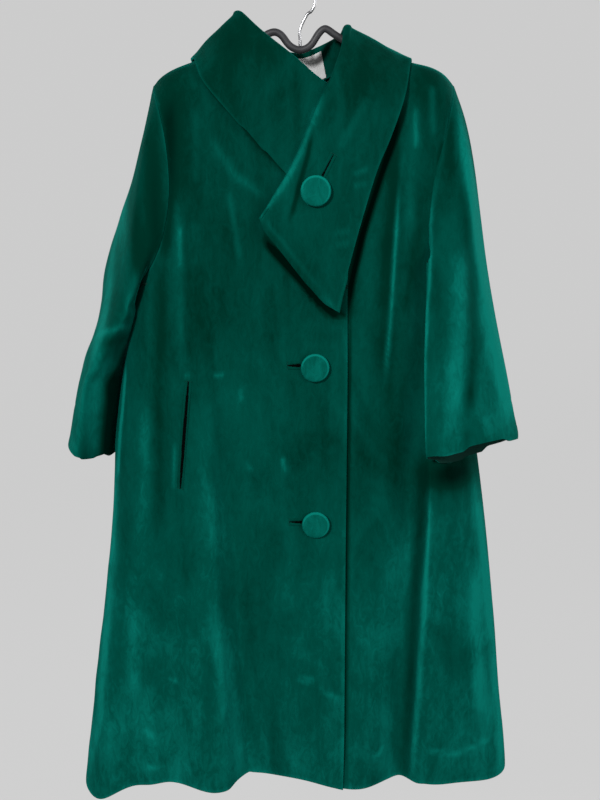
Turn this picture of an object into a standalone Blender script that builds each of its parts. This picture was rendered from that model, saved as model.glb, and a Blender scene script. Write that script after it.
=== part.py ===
"""A velvet swing coat hung on a hanger: a flared body, loose three-quarter sleeves and a wide wrapped collar.

Sizes are in millimetres. Heights are measured above the hem.
The part's origin is where the hook sits on a rod.
"""

import bisect
import math
from collections import namedtuple

import bmesh
import bpy
from mathutils import Vector

# Driving sizes
HEM_BELOW_ROD = 1094.0
CLOTH = 2.5
COLLAR_CLOTH = 3.0
SEAM_GAP = 0.5
SMALL_GAP = 0.3
UNDERARM = 720.0
FRONT_EDGE_X = 62.0
UNDERLAP_EDGE_X = -22.0
UNDERLAP_STEP = 3.6
SIDE_ROUND = 60.0
SHOULDER_ROUND = 42.0
BUTTON_DIAMETER = 38.0
BUTTON_THICKNESS = 7.0
HANGER_BAR = 9.0
HOOK_WIRE = 3.6
HOOK_INNER_RADIUS = 17.0
HOOK_STEM = 20.0
HOOK_START = -62.0
HOOK_SWEEP = 232.0
ROD_SEAT = HEM_BELOW_ROD

# Colours and finishes
VELVET = (0.0, 0.075, 0.052)
VELVET_ROUGHNESS = 0.85
BUTTON_VELVET = (0.0, 0.13, 0.1)
LABEL_COLOUR = (0.72, 0.72, 0.7)
LABEL_ROUGHNESS = 0.8
HANGER_COLOUR = (0.07, 0.07, 0.075)
HANGER_ROUGHNESS = 0.5
HOOK_COLOUR = (0.6, 0.6, 0.62)
HOOK_ROUGHNESS = 0.25

# How finely the cloth is divided. Steps are places round the body, of which a quarter turn has one
FRONT_STEP = 0.066
BACK_STEP = 0.084
CREST_STEP_SHARE = 0.45
CREST_REACH = 0.08
ROWS_BELOW = 13
ROWS_ABOVE = 10
SLEEVE_AROUND = 2 * ROWS_ABOVE
CAP_ROWS = 7
ARM_ROWS = 6
COLLAR_ALONG = 38
STAND_STEPS = 3
ROLL_STEPS = 4
FALL_STEPS = 6
BUTTON_AROUND = 24
TUBE_AROUND = 8
BAR_STEPS = 40
HOOK_STEPS = 20

# A place round the body is -1 at the left side seam, 0 in the middle and 1 at the right side seam. Beyond
# FLAT_SHARE the wall turns round the side
FLAT_SHARE = 0.74
LOOK_AROUND = 0.002

# The body, seen from the front: half-widths to the left and right and depths to the front and back, by height
BodyRow = namedtuple("BodyRow", "height left right front back")
BODY = (
    BodyRow(-20, 332, 318, 66, 71),
    BodyRow(0, 328, 317, 65, 70),
    BodyRow(100, 312, 303, 61, 66),
    BodyRow(250, 289, 285, 56, 60),
    BodyRow(400, 268, 264, 50, 54),
    BodyRow(550, 253, 238, 46, 48),
    BodyRow(700, 223, 205, 42, 42),
    BodyRow(740, 215, 199, 41, 40),
    BodyRow(850, 210, 206, 39, 36),
    BodyRow(1000, 208, 214, 36, 32),
)

# The armhole's edge, as a distance sideways from the middle, by height
ArmholeRow = namedtuple("ArmholeRow", "height left right")
ARMHOLE = (
    ArmholeRow(720, 219, 201),
    ArmholeRow(733, 207, 192),
    ArmholeRow(755, 192, 178),
    ArmholeRow(775, 182, 169),
    ArmholeRow(811, 171, 169),
    ArmholeRow(850, 166, 173),
    ArmholeRow(916, 170, 183),
    ArmholeRow(960, 180, 191),
    ArmholeRow(985, 188, 197),
)

# The height of the shoulder's ridge over the hanger on each side, by distance sideways from the middle
RidgeRow = namedtuple("RidgeRow", "aside left right")
RIDGE = (
    RidgeRow(0, 1062, 1062),
    RidgeRow(80, 1028, 1028),
    RidgeRow(141, 1003, 1004),
    RidgeRow(160, 996, 1000),
    RidgeRow(174, 988, 995),
    RidgeRow(186, 976, 987),
    RidgeRow(196, 962, 975),
    RidgeRow(206, 944, 958),
)

# Where the collar is sewn on, from the side of the neck inwards, by x
NeckRow = namedtuple("NeckRow", "x height")
RIGHT_FRONT_NECK = (NeckRow(-80, 1028), NeckRow(-38, 988), NeckRow(14, 942), NeckRow(62, 900))
LEFT_FRONT_NECK = (NeckRow(-22, 872), NeckRow(30, 905), NeckRow(62, 950), NeckRow(80, 1028))
NECK_REACH = 0.5
BACK_NECK = (NeckRow(-80, 1028), NeckRow(-45, 990), NeckRow(0, 976), NeckRow(45, 990), NeckRow(80, 1028))

# Soft folds. A ridge stands out where its depth is positive; it is centred on x and fades over its reaches
Fold = namedtuple("Fold", "x_hem x_chest reach_left reach_right depth_hem depth_middle gone_above")
FRONT_FOLDS = (
    Fold(-292, -214, 50, 30, 16, 6, 600),
    Fold(-222, -206, 22, 24, 10, 8, 860),
    Fold(-140, -150, 44, 34, 23, 12, 780),
    Fold(-103, -127, 30, 8, 15, 6, 600),
    Fold(-78, -112, 12, 46, -12, -4, 560),
    Fold(74, 62, 62, 42, 25, 3, 600),
    Fold(148, 152, 22, 10, -10, -10, 640),
    Fold(170, 174, 7, 38, 8, 17, 660),
    Fold(208, 190, 32, 52, 15, 5, 560),
    Fold(124, 124, 16, 20, 0, 5, 930),
)
BACK_FOLDS = (
    Fold(-216, -150, 46, 40, 32, 12, 800),
    Fold(-92, -66, 40, 50, 24, 9, 860),
    Fold(34, 26, 52, 42, 30, 11, 820),
    Fold(158, 104, 44, 46, 25, 9, 840),
    Fold(262, 170, 34, 40, 16, 6, 640),
)
RIGHT_CRESTS = (-103, -78)
LEFT_CRESTS = (148, 170)
FOLD_MIDDLE = 400.0
FOLD_CHEST = 700.0
CREST_HELD = 470.0

# Sleeves, from the section just below the underarm down to the cuff: a flattened loop whose two folds lie
# along its turned width. Out is the distance sideways. Outer and inner are the loop's reach from the body
# and towards it; front_rise lifts the front fold
SleeveRow = namedtuple(
    "SleeveRow", "height out y wide outer inner turn twist rise_wide rise_thin front_rise"
)
RIGHT_SLEEVE = (
    SleeveRow(690, 250.5, 6, 58, 19.5, 21.2, 70, 90, 0.0, 0.10, 0),
    SleeveRow(610, 269.5, 10, 61, 26.5, 26.5, 95, 90, 0.0, 0.20, 0),
    SleeveRow(500, 290.5, 6, 62, 30, 29, 101, 90, 0.04, 0.32, 0),
)
LEFT_SLEEVE = (
    SleeveRow(706, 209, -34, 55, 22, 10, 30, 46, 0.0, 0.0, 50),
    SleeveRow(600, 220, -52, 63, 17, 16, 23, 32, 0.08, 0.2, 0),
    SleeveRow(506, 231, -62, 70, 17, 17, 20, 24, 0.11, 0.62, 0),
)

# The direction in which the sleeve's cap leaves the armhole, from the shoulder at 0 to the underarm at 1
CapRow = namedtuple("CapRow", "low out down")
RIGHT_CAP = (CapRow(0.0, 0.3, 1.0), CapRow(0.5, 0.85, 0.6), CapRow(1.0, 1.0, 0.3))
LEFT_CAP = (CapRow(0.0, 0.5, 1.0), CapRow(0.5, 0.85, 0.6), CapRow(1.0, 1.0, 0.3))
FRONT_TOWARDS = 1.25
UNDERARM_FROM = 0.6
UNDERARM_REACH = 0.95
SEAM_TURNS_FROM = 0.45
SEAM_TURNS_OVER = 0.5
SLEEVE_FOLD = 0.25
JOINT_DROP = 20.0

# The hem's height; it drops at the sides, where the flare is cut on the bias
HemRow = namedtuple("HemRow", "x height")
HEM = (
    HemRow(-330, -36),
    HemRow(-288, -28),
    HemRow(-252, -12),
    HemRow(-200, -2),
    HemRow(-165, -1),
    HemRow(-118, -5),
    HemRow(-80, 0),
    HemRow(0, 1),
    HemRow(75, -3),
    HemRow(130, -3),
    HemRow(215, 2),
    HemRow(268, -3),
    HemRow(330, -14),
)

# The collar, from its under end round the back of the neck to the tip of its flap: the seam on the neck,
# the roll and the free edge. Aside and ahead are the way the fall faces
CollarRow = namedtuple("CollarRow", "place base roll edge aside ahead roll_radius")
COLLAR = (
    CollarRow(0, (22, -38, 937), (46, -43, 967), (7, -45, 843), 0.0, -1.0, 4.6),
    CollarRow(1, (0, -38, 956), (26, -43, 981), (-24, -46, 868), 0.0, -1.0, 4.8),
    CollarRow(2, (-38, -36, 990), (-12, -41, 1010), (-77, -47, 929), -0.1, -1.0, 5.0),
    CollarRow(3, (-70, -20, 1022), (-50, -27, 1039), (-118, -42, 977), -0.5, -0.87, 5.0),
    CollarRow(4, (-80, -4, 1031), (-77, -12, 1062), (-134, -6, 1007), -1.0, -0.2, 5.0),
    CollarRow(5, (-78, 12, 1028), (-68, 17, 1046), (-135, 26, 999), -0.94, 0.34, 5.0),
    CollarRow(6, (-45, 31, 993), (-36, 37, 1026), (-86, 52, 944), -0.35, 0.94, 5.0),
    CollarRow(7, (0, 36, 978), (0, 42, 1018), (0, 54, 914), 0.0, 1.0, 5.0),
    CollarRow(8, (45, 31, 993), (34, 37, 1030), (88, 52, 944), 0.35, 0.94, 5.0),
    CollarRow(9, (78, 12, 1028), (55, 20, 1040), (138, 26, 996), 0.94, 0.34, 5.0),
    CollarRow(10, (80, -4, 1031), (59, -8, 1046), (139, -6, 1003), 0.9, -0.44, 5.0),
    CollarRow(11, (71, -31, 1006), (51, -36, 1013), (128, -46, 958), 0.4, -0.92, 5.0),
    CollarRow(12, (58, -43, 966), (37, -54, 981), (112, -54, 912), 0.0, -1.0, 4.6),
    CollarRow(13, (33, -55, 939), (19, -56, 944), (95, -56, 870), 0.0, -1.0, 3.4),
    CollarRow(14, (7, -52, 880), (-7, -54, 884), (73, -58, 794), 0.0, -1.0, 3.0),
    CollarRow(15, (-37, -51, 815), (-48, -52, 816), (48, -60, 696), 0.0, -1.0, 3.0),
)

COLLAR_CLEARANCE = 3.2
COLLAR_BULGE = 3.0
UNDER_FLAP = 12.5

# The hanger's bar over the neck and along the shoulders
BarRow = namedtuple("BarRow", "x height")
HANGER_BAR_ROWS = (
    BarRow(-175, 974),
    BarRow(-160, 985),
    BarRow(-141, 993),
    BarRow(-80, 1018),
    BarRow(-52, 1031),
    BarRow(-40, 1038),
    BarRow(-31, 1040),
    BarRow(-23, 1036),
    BarRow(-14, 1025),
    BarRow(0, 1019),
    BarRow(14, 1025),
    BarRow(24, 1039),
    BarRow(31, 1044),
    BarRow(42, 1038),
    BarRow(56, 1030),
    BarRow(80, 1018),
    BarRow(141, 993),
    BarRow(160, 985),
    BarRow(175, 974),
)

# The points along the bar are closer together at the neck, where it bends most
BAR_SPREAD = 0.45

# Where things are sewn on the front: middle of each, by x and height
ButtonRow = namedtuple("ButtonRow", "name x height on_collar hole_x hole_height hole_turn")
BUTTONS = (
    ButtonRow("top", 20, 848, True, 31, 872, 62),
    ButtonRow("middle", 20, 619, False, 4, 621, 0),
    ButtonRow("bottom", 22, 399, False, 6, 401, 0),
)
SEWN_GAP = 0.4
BUTTON_LIFT = 0.6
HOLE_LENGTH = 44.0
HOLE_WIDTH = 8.0
LIP_THICKNESS = 1.0
PocketRow = namedtuple("PocketRow", "name side x_top height_top x_low height_low")
POCKETS = (
    PocketRow("right", -1, -148, 602, -162, 454),
    PocketRow("left", 1, 190, 636, 204, 488),
)
WELT_WIDTH = 10.0
WELT_THICKNESS = 1.2
LABEL_THICKNESS = 0.8
LABEL_FROM = 6.43
LABEL_ALONG = 1.33
LABEL_COLUMNS = 6
LABEL_UP = (0.04, 0.35, 0.66, 0.97)

# A button's rounded form: rings from its back to its front's middle, as shares of its radius and thickness
ButtonRing = namedtuple("ButtonRing", "radius rise")
BUTTON_RINGS = (
    ButtonRing(0.62, 0.0),
    ButtonRing(0.95, 0.16),
    ButtonRing(1.0, 0.4),
    ButtonRing(0.97, 0.64),
    ButtonRing(0.86, 0.84),
    ButtonRing(0.62, 0.96),
    ButtonRing(0.3, 1.0),
)

def smooth_value(table, column, at):
    """A table's column on a smooth curve through its rows, whose first field is the place along the curve."""
    places = [row[0] for row in table]
    values = [getattr(row, column) for row in table]
    if at <= places[0]:
        return values[0]
    if at >= places[-1]:
        return values[-1]
    i = bisect.bisect_right(places, at) - 1
    span = places[i + 1] - places[i]
    rise = (values[i + 1] - values[i]) / span

    def slope(k):
        if k in (0, len(places) - 1):
            return rise
        before = (values[k] - values[k - 1]) / (places[k] - places[k - 1])
        after = (values[k + 1] - values[k]) / (places[k + 1] - places[k])
        return 0.5 * (before + after)

    s = (at - places[i]) / span
    start = values[i] + slope(i) * span * s * (1 - s) ** 2
    blend = s * s * (3 - 2 * s)
    return start - slope(i + 1) * span * s * s * (1 - s) + (values[i + 1] - values[i]) * blend


AxisRow = namedtuple("AxisRow", "place value")


def smooth_point(table, column, at):
    """The same for a column that holds points."""
    parts = []
    for axis in range(3):
        axis_rows = [AxisRow(row[0], getattr(row, column)[axis]) for row in table]
        parts.append(smooth_value(axis_rows, "value", at))
    return Vector(parts)


def smooth_step(s):
    s = min(1.0, max(0.0, s))
    return s * s * (3 - 2 * s)


def place(x, y, height):
    """A point of the coat as a Blender point, in metres."""
    return Vector((x, y, height - ROD_SEAT)) * 0.001


# The body's form


def fold_centre(fold, height):
    return fold.x_hem + (fold.x_chest - fold.x_hem) * min(1.0, height / FOLD_CHEST)


def fold_depth(fold, x, height):
    """How far a fold moves the cloth outwards at x."""
    centre = fold_centre(fold, height)
    reach = fold.reach_left if x < centre else fold.reach_right
    if height < FOLD_MIDDLE:
        share = smooth_step(height / FOLD_MIDDLE)
        depth = fold.depth_hem + (fold.depth_middle - fold.depth_hem) * share
    else:
        faded = smooth_step((height - FOLD_MIDDLE) / (fold.gone_above - FOLD_MIDDLE))
        depth = fold.depth_middle * (1 - faded)
    return depth * math.exp(-(((x - centre) / reach) ** 2))


def ridge_height(x):
    return smooth_value(RIDGE, "left" if x < 0 else "right", abs(x))


def half_width(x_side, height):
    return smooth_value(BODY, "left" if x_side < 0 else "right", height)


def body_x(around, height):
    side = -1.0 if around < 0 else 1.0
    flat = half_width(side, height) - SIDE_ROUND
    share = abs(around)
    if share <= FLAT_SHARE:
        return side * flat * share / FLAT_SHARE
    turn = (share - FLAT_SHARE) / (1 - FLAT_SHARE) * math.pi / 2
    return side * (flat + SIDE_ROUND * math.sin(turn))


def around_of(x, height):
    """The place round the body of a point at x."""
    side = -1.0 if x < 0 else 1.0
    flat = half_width(side, height) - SIDE_ROUND
    if abs(x) <= flat:
        return side * FLAT_SHARE * abs(x) / flat
    turn = math.asin(min(1.0, (abs(x) - flat) / SIDE_ROUND))
    return side * (FLAT_SHARE + (1 - FLAT_SHARE) * turn / (math.pi / 2))


def body_point(face, around, height):
    """A point of the body's outer surface. Face is -1 for the front and 1 for the back."""
    x = body_x(around, height)
    share = abs(around)
    turned = 1.0
    if share > FLAT_SHARE:
        turned = math.cos((share - FLAT_SHARE) / (1 - FLAT_SHARE) * math.pi / 2)
    below = max(0.0, ridge_height(x) - height)
    rounded = 1.0
    if below < SHOULDER_ROUND:
        rounded = math.sqrt(1 - (1 - below / SHOULDER_ROUND) ** 2)
    depth = smooth_value(BODY, "front" if face < 0 else "back", height)
    for fold in FRONT_FOLDS if face < 0 else BACK_FOLDS:
        depth += fold_depth(fold, x, height)
    return Vector((x, face * depth * turned * rounded, height))


def body_normal(face, around, height):
    """The outward direction of the body's surface."""
    x = body_x(around, height)
    below = ridge_height(x) - height
    if below < 1.0:
        slope = (ridge_height(x + 1) - ridge_height(x - 1)) / 2
        return Vector((-slope, face * 0.02, 1.0)).normalized()
    rise = min(1.0, below / 3)
    after = body_point(face, around + LOOK_AROUND, height)
    across = after - body_point(face, around - LOOK_AROUND, height)
    up = body_point(face, around, height + rise) - body_point(face, around, height - rise)
    normal = across.cross(up).normalized()
    return normal if face < 0 else -normal


def off_the_body(point, clearance):
    """The point moved away from the body's surface, where it would come closer than the clearance."""
    face = -1 if point.y < 0 else 1
    centre = ridge_height(point.x) - SHOULDER_ROUND
    flat_height = min(point.z, centre)
    depth = abs(body_point(face, around_of(point.x, flat_height), flat_height).y) + clearance
    if point.z <= centre:
        return Vector((point.x, face * max(depth, abs(point.y)), point.z))
    rise = point.z - centre
    reach = math.hypot(point.y / depth, rise / (SHOULDER_ROUND + clearance))
    if reach >= 1:
        return point
    return Vector((point.x, point.y / reach, centre + rise / reach))


# Meshes


def add_object(name, mesh_data, colour, roughness, metallic=0.0):
    mesh = bpy.data.meshes.new(name)
    mesh_data.to_mesh(mesh)
    mesh_data.free()
    piece = bpy.data.objects.new(name, mesh)
    bpy.context.scene.collection.objects.link(piece)
    material = bpy.data.materials.new(name)
    material.use_nodes = True
    shader = material.node_tree.nodes["Principled BSDF"]
    shader.inputs["Base Color"].default_value = (*colour, 1.0)
    shader.inputs["Roughness"].default_value = roughness
    shader.inputs["Metallic"].default_value = metallic
    mesh.materials.append(material)
    mesh.shade_smooth()
    mesh.set_sharp_from_angle(angle=math.radians(50))
    return piece


def grid_normals(rows, closed):
    """The direction outwards at each point of a grid, from its neighbours."""
    count = len(rows[0])
    normals = []
    for r, row in enumerate(rows):
        up = [rows[min(r + 1, len(rows) - 1)][c] - rows[max(r - 1, 0)][c] for c in range(count)]
        line = []
        for c in range(count):
            after = row[(c + 1) % count] if closed else row[min(c + 1, count - 1)]
            before = row[c - 1] if closed else row[max(c - 1, 0)]
            line.append((after - before).cross(up[c]).normalized())
        normals.append(line)
    return normals


def cloth_wall(rows, normals, thickness, closed):
    """A closed wall of cloth: the outer grid of points, an inner one under it, and the edges between them."""
    made = bmesh.new()
    outer = [[made.verts.new(place(*p)) for p in row] for row in rows]
    inner = []
    for row, line in zip(rows, normals):
        inner.append([made.verts.new(place(*(p - n * thickness))) for p, n in zip(row, line)])
    count = len(rows[0])
    columns = count if closed else count - 1
    for r in range(len(rows) - 1):
        for c in range(columns):
            d = (c + 1) % count
            made.faces.new((outer[r][c], outer[r][d], outer[r + 1][d], outer[r + 1][c]))
            made.faces.new((inner[r][c], inner[r + 1][c], inner[r + 1][d], inner[r][d]))
    for c in range(columns):
        d = (c + 1) % count
        made.faces.new((outer[0][d], outer[0][c], inner[0][c], inner[0][d]))
        made.faces.new((outer[-1][c], outer[-1][d], inner[-1][d], inner[-1][c]))
    if not closed:
        for r in range(len(rows) - 1):
            made.faces.new((outer[r][0], outer[r + 1][0], inner[r + 1][0], inner[r][0]))
            made.faces.new((outer[r + 1][-1], outer[r][-1], inner[r][-1], inner[r + 1][-1]))
    bmesh.ops.recalc_face_normals(made, faces=made.faces)
    return made


def velvet_piece(name, rows, normals, thickness=CLOTH, closed=False):
    return add_object(name, cloth_wall(rows, normals, thickness, closed), VELVET, VELVET_ROUGHNESS)


# Fronts and back


def hem_places(start, side, crests, step):
    """Places round the body for the columns at the hem: closer together at the crests, with one on each."""
    spots = [around_of(crest.x_hem, 0) for crest in crests]
    places = [start]
    while (side - places[-1]) * side > step / 3:
        near = max([math.exp(-(((places[-1] - spot) / CREST_REACH) ** 2)) for spot in spots] or [0.0])
        places.append(places[-1] + side * step * (1 - (1 - CREST_STEP_SHARE) * near))
    places[-1] = side
    for spot in spots:
        nearest = min(range(1, len(places) - 1), key=lambda k: abs(places[k] - spot))
        places[nearest] = spot
    return places


def between_crests(place, crests, start_of, side, height):
    """Where a column that starts at this place of the hem lies at a height, if it keeps its share of the way
    between two crests."""
    lines = [start_of] + [crest_line(crest) for crest in sorted(crests, key=lambda c: side * c.x_hem)]
    lines.append(lambda _: side)
    for first, second in zip(lines, lines[1:]):
        low, high = first(0), second(0)
        if side * place <= side * high + 1e-6:
            share = (place - low) / (high - low)
            return first(height) + (second(height) - first(height)) * share
    return side


def crest_line(crest):
    return lambda height: around_of(fold_centre(crest, height), height)


def armhole_around(side, height):
    """Where the armhole's edge lies round the body; at the side seam below the underarm."""
    if height <= UNDERARM:
        return side
    column = "left" if side < 0 else "right"
    return around_of(side * smooth_value(ARMHOLE, column, height), height)


def neck_height(neck, x):
    """The height of the neck's seam at x, or nothing where the panel runs up to the shoulder."""
    if not neck[0].x - NECK_REACH <= x <= neck[-1].x + NECK_REACH:
        return None
    return smooth_value(neck, "height", x)


def column_top(neck, start_of, share, side):
    """The height where a column of cloth ends, at the shoulder's ridge or the neck, and its place there."""
    height = 990.0
    for _ in range(30):
        begin = start_of(height)
        around = begin + (armhole_around(side, height) - begin) * share
        x = body_x(around, height)
        top = ridge_height(x)
        neck_top = neck_height(neck, x)
        if neck_top is not None:
            top = min(top, neck_top)
        height += (top - height) * 0.5
    return height


def rise_above(top, r):
    """The height of a row above the underarm; rows are closer together at both ends."""
    return UNDERARM + (top - UNDERARM) * (0.5 - 0.5 * math.cos(math.pi * r / ROWS_ABOVE))


def column_heights(x_hem, top):
    """Heights up one column, from the hem to its top."""
    hem = smooth_value(HEM, "height", x_hem)
    heights = [hem + (UNDERARM - hem) * r / ROWS_BELOW for r in range(ROWS_BELOW)]
    heights += [rise_above(top, r) for r in range(ROWS_ABOVE + 1)]
    return heights


def body_panel(face, start_of, side, crests, neck, step, step_back=None):
    """The grid of a panel from its starting edge to a side seam and armhole. Its columns follow the crests
    of folds low down, and are evenly spread from the chest upwards."""
    columns = []
    places = hem_places(start_of(0), side, crests, step)
    for j, hem_place in enumerate(places):
        share = j / (len(places) - 1)
        top = column_top(neck, start_of, share, side)
        column = []
        for height in column_heights(body_x(hem_place, 0), top):
            begin = start_of(height)
            around = begin + (armhole_around(side, height) - begin) * share
            held = 1 - smooth_step((height - CREST_HELD) / (UNDERARM - CREST_HELD))
            if held > 0:
                followed = between_crests(hem_place, crests, start_of, side, height)
                around += (followed - around) * held
            point = body_point(face, around, height)
            normal = body_normal(face, around, height)
            if step_back:
                point = point - normal * step_back(point.x)
            if face * point.y < SEAM_GAP / 2:
                point.y = face * SEAM_GAP / 2
            column.append((point, normal))
        columns.append(column)
    rows = [[column[r][0] for column in columns] for r in range(len(columns[0]))]
    normals = [[column[r][1] for column in columns] for r in range(len(columns[0]))]
    return rows, normals


def build_right_front():
    """The front that laps over, on the left as seen; its edge runs down the middle."""
    crests = [fold for fold in FRONT_FOLDS if fold.x_hem in RIGHT_CRESTS]
    rows, normals = body_panel(
        -1, lambda height: around_of(FRONT_EDGE_X, height), -1.0, crests, RIGHT_FRONT_NECK, FRONT_STEP
    )
    velvet_piece("front_right", rows, normals)


def underlap(x):
    """The left front steps back to lie under the right one."""
    return UNDERLAP_STEP * (1 - smooth_step((x - FRONT_EDGE_X - 3) / 26))


def build_left_front():
    crests = [fold for fold in FRONT_FOLDS if fold.x_hem in LEFT_CRESTS]
    rows, normals = body_panel(
        -1,
        lambda height: around_of(UNDERLAP_EDGE_X, height),
        1.0,
        crests,
        LEFT_FRONT_NECK,
        FRONT_STEP,
        underlap,
    )
    velvet_piece("front_left", rows, normals)


def build_back():
    """The back, cut in one piece: both halves are made from the middle and joined."""
    left, left_normals = body_panel(1, lambda height: 0.0, -1.0, [], BACK_NECK, BACK_STEP)
    right, right_normals = body_panel(1, lambda height: 0.0, 1.0, [], BACK_NECK, BACK_STEP)
    rows = [a[::-1] + b[1:] for a, b in zip(left, right)]
    normals = [a[::-1] + b[1:] for a, b in zip(left_normals, right_normals)]
    velvet_piece("back", rows, normals)


# Sleeves


def armhole_tip(side):
    """The height of the shoulder seam's outer end."""
    height = 970.0
    for _ in range(40):
        height += 0.4 * (ridge_height(body_x(armhole_around(side, height), height)) - height)
    return height


def armhole_point(side, k):
    """A corner of the armhole's edge and the cloth's direction there. They run from the shoulder down
    to the underarm and up the back."""
    face = -1 if k <= ROWS_ABOVE else 1
    height = rise_above(armhole_tip(side), abs(ROWS_ABOVE - k))
    around = armhole_around(side, height)
    return body_point(face, around, height), body_normal(face, around, height)


def sleeve_section(row_table, side, height, angle):
    """A point of a sleeve below the underarm. At angle 0 it is outside the arm, and at 90 in front of it."""
    rising = row_table[::-1]
    value = {name: smooth_value(rising, name, height) for name in SleeveRow._fields[1:]}
    local = angle + math.radians(value["twist"])
    turn = math.radians(value["turn"])
    along = value["wide"] * math.cos(local)
    through = value["outer" if math.sin(local) > 0 else "inner"]
    through *= math.sin(local) * abs(math.sin(local)) ** SLEEVE_FOLD
    out = value["out"] + along * math.cos(turn) + through * math.sin(turn)
    y = value["y"] + along * math.sin(turn) - through * math.cos(turn)
    rise = value["rise_wide"] * along + value["rise_thin"] * through
    rise += value["front_rise"] * max(0.0, -math.cos(local)) ** 6
    return Vector((side * out, y, height + rise))


def build_sleeve(name, side, row_table, cap_table):
    top_row, cuff_row = row_table[0], row_table[-1]
    rows = [[] for _ in range(CAP_ROWS + ARM_ROWS + 1)]
    seam_normals = []
    for k in range(SLEEVE_AROUND):
        angle = 2 * math.pi * k / SLEEVE_AROUND
        start, seam_normal = armhole_point(side, k)
        low = 0.5 - 0.5 * math.cos(angle)
        start = start + Vector((side * SEAM_GAP, 0, SEAM_GAP * (2 * low - 1)))
        seam_normals.append((seam_normal, low))
        joint = sleeve_section(row_table, side, top_row.height, angle)
        below = sleeve_section(row_table, side, top_row.height - JOINT_DROP, angle)
        length = (joint - start).length
        leave_out = smooth_value(cap_table, "out", low)
        leave_down = smooth_value(cap_table, "down", low)
        leave = Vector((side * leave_out, 0, -leave_down)).normalized() * length
        ahead = FRONT_TOWARDS * max(0.0, math.sin(angle)) ** 2 * low
        leave += (joint - start - leave) * ahead
        leave = leave * (1 + UNDERARM_REACH * smooth_step((low - UNDERARM_FROM) / (1 - UNDERARM_FROM)))
        arrive = (below - joint).normalized() * length
        for r in range(CAP_ROWS + 1):
            s = r / CAP_ROWS
            point = start * (2 * s**3 - 3 * s**2 + 1) + leave * (s**3 - 2 * s**2 + s)
            point = point + joint * (3 * s**2 - 2 * s**3) + arrive * (s**3 - s**2)
            rows[r].append(point)
        for r in range(1, ARM_ROWS + 1):
            height = top_row.height + (cuff_row.height - top_row.height) * r / ARM_ROWS
            rows[CAP_ROWS + r].append(sleeve_section(row_table, side, height, angle))
    normals = grid_normals(rows, True)
    middle = sum(rows[-1], Vector()) / SLEEVE_AROUND
    if normals[-1][0].dot(rows[-1][0] - middle) < 0:
        normals = [[-n for n in line] for line in normals]
    for k, (seam_normal, low) in enumerate(seam_normals):
        share = smooth_step((low - SEAM_TURNS_FROM) / SEAM_TURNS_OVER)
        normals[0][k] = (seam_normal * (1 - share) + normals[1][k] * share).normalized()
    velvet_piece(name, rows, normals, closed=True)


# Collar


def collar_section(at):
    """One line of points across the collar's middle layer, from the neck seam over the roll to the edge."""
    base = smooth_point(COLLAR, "base", at)
    roll = smooth_point(COLLAR, "roll", at)
    edge = smooth_point(COLLAR, "edge", at)
    radius = smooth_value(COLLAR, "roll_radius", at)
    aside = smooth_value(COLLAR, "aside", at)
    outward = Vector((aside, smooth_value(COLLAR, "ahead", at), 0)).normalized()
    up = roll - edge
    up = (up - outward * up.dot(outward)).normalized()
    centre = roll - up * radius
    points = []
    stand_top = centre - outward * radius
    for k in range(STAND_STEPS):
        points.append(base.lerp(stand_top, k / STAND_STEPS))
    for k in range(ROLL_STEPS + 1):
        turn = math.pi * (1 - k / ROLL_STEPS)
        points.append(centre + outward * radius * math.cos(turn) + up * radius * math.sin(turn))
    fall_top = points[-1]
    for k in range(1, FALL_STEPS + 1):
        share = k / FALL_STEPS
        bulge = outward * COLLAR_BULGE * math.sin(math.pi * share)
        points.append(off_the_body(fall_top.lerp(edge, share) + bulge, COLLAR_CLEARANCE))
    return points


def collar_layers():
    """The collar's outer surface and the way it faces."""
    last = COLLAR[-1].place
    middle = [collar_section(last * k / COLLAR_ALONG) for k in range(COLLAR_ALONG + 1)]
    normals = [[-n for n in line] for line in grid_normals(middle, False)]
    rows = [[p + n * (COLLAR_CLOTH / 2) for p, n in zip(row, line)] for row, line in zip(middle, normals)]
    return rows, normals


def build_collar():
    rows, normals = collar_layers()
    velvet_piece("collar", rows, normals, COLLAR_CLOTH)


# Things sewn on


def flap_point(x, height):
    """The collar flap's outer surface at a place seen from the front, and the way it faces."""
    rows, normals = collar_layers()
    best = None
    for r, row in enumerate(rows):
        if r / COLLAR_ALONG * COLLAR[-1].place < UNDER_FLAP:
            continue
        for c in range(STAND_STEPS + ROLL_STEPS, len(row)):
            away = math.hypot(row[c].x - x, row[c].z - height)
            if best is None or away < best[0]:
                best = (away, row[c], normals[r][c])
    near, normal = best[1], best[2]
    y = near.y - ((x - near.x) * normal.x + (height - near.z) * normal.z) / normal.y
    return Vector((x, y, height)), normal


def front_point(x, height):
    around = around_of(x, height)
    return body_point(-1, around, height), body_normal(-1, around, height)


def sewn_strip(name, point_at, middle, turn, length, width, thickness, steps):
    """A flat strip that follows the cloth under it, 0.3 mm off."""
    along = Vector((math.cos(turn), 0, math.sin(turn)))
    across = Vector((-math.sin(turn), 0, math.cos(turn)))
    rows, normals = [], []
    for k in range(3):
        row, line = [], []
        for j in range(steps + 1):
            aside = middle + across * width * (k / 2 - 0.5) + along * length * (j / steps - 0.5)
            point, normal = point_at(aside.x, aside.z)
            row.append(point + normal * (SEWN_GAP + thickness))
            line.append(normal)
        rows.append(row)
        normals.append(line)
    velvet_piece(name, rows, normals, thickness)


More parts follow.
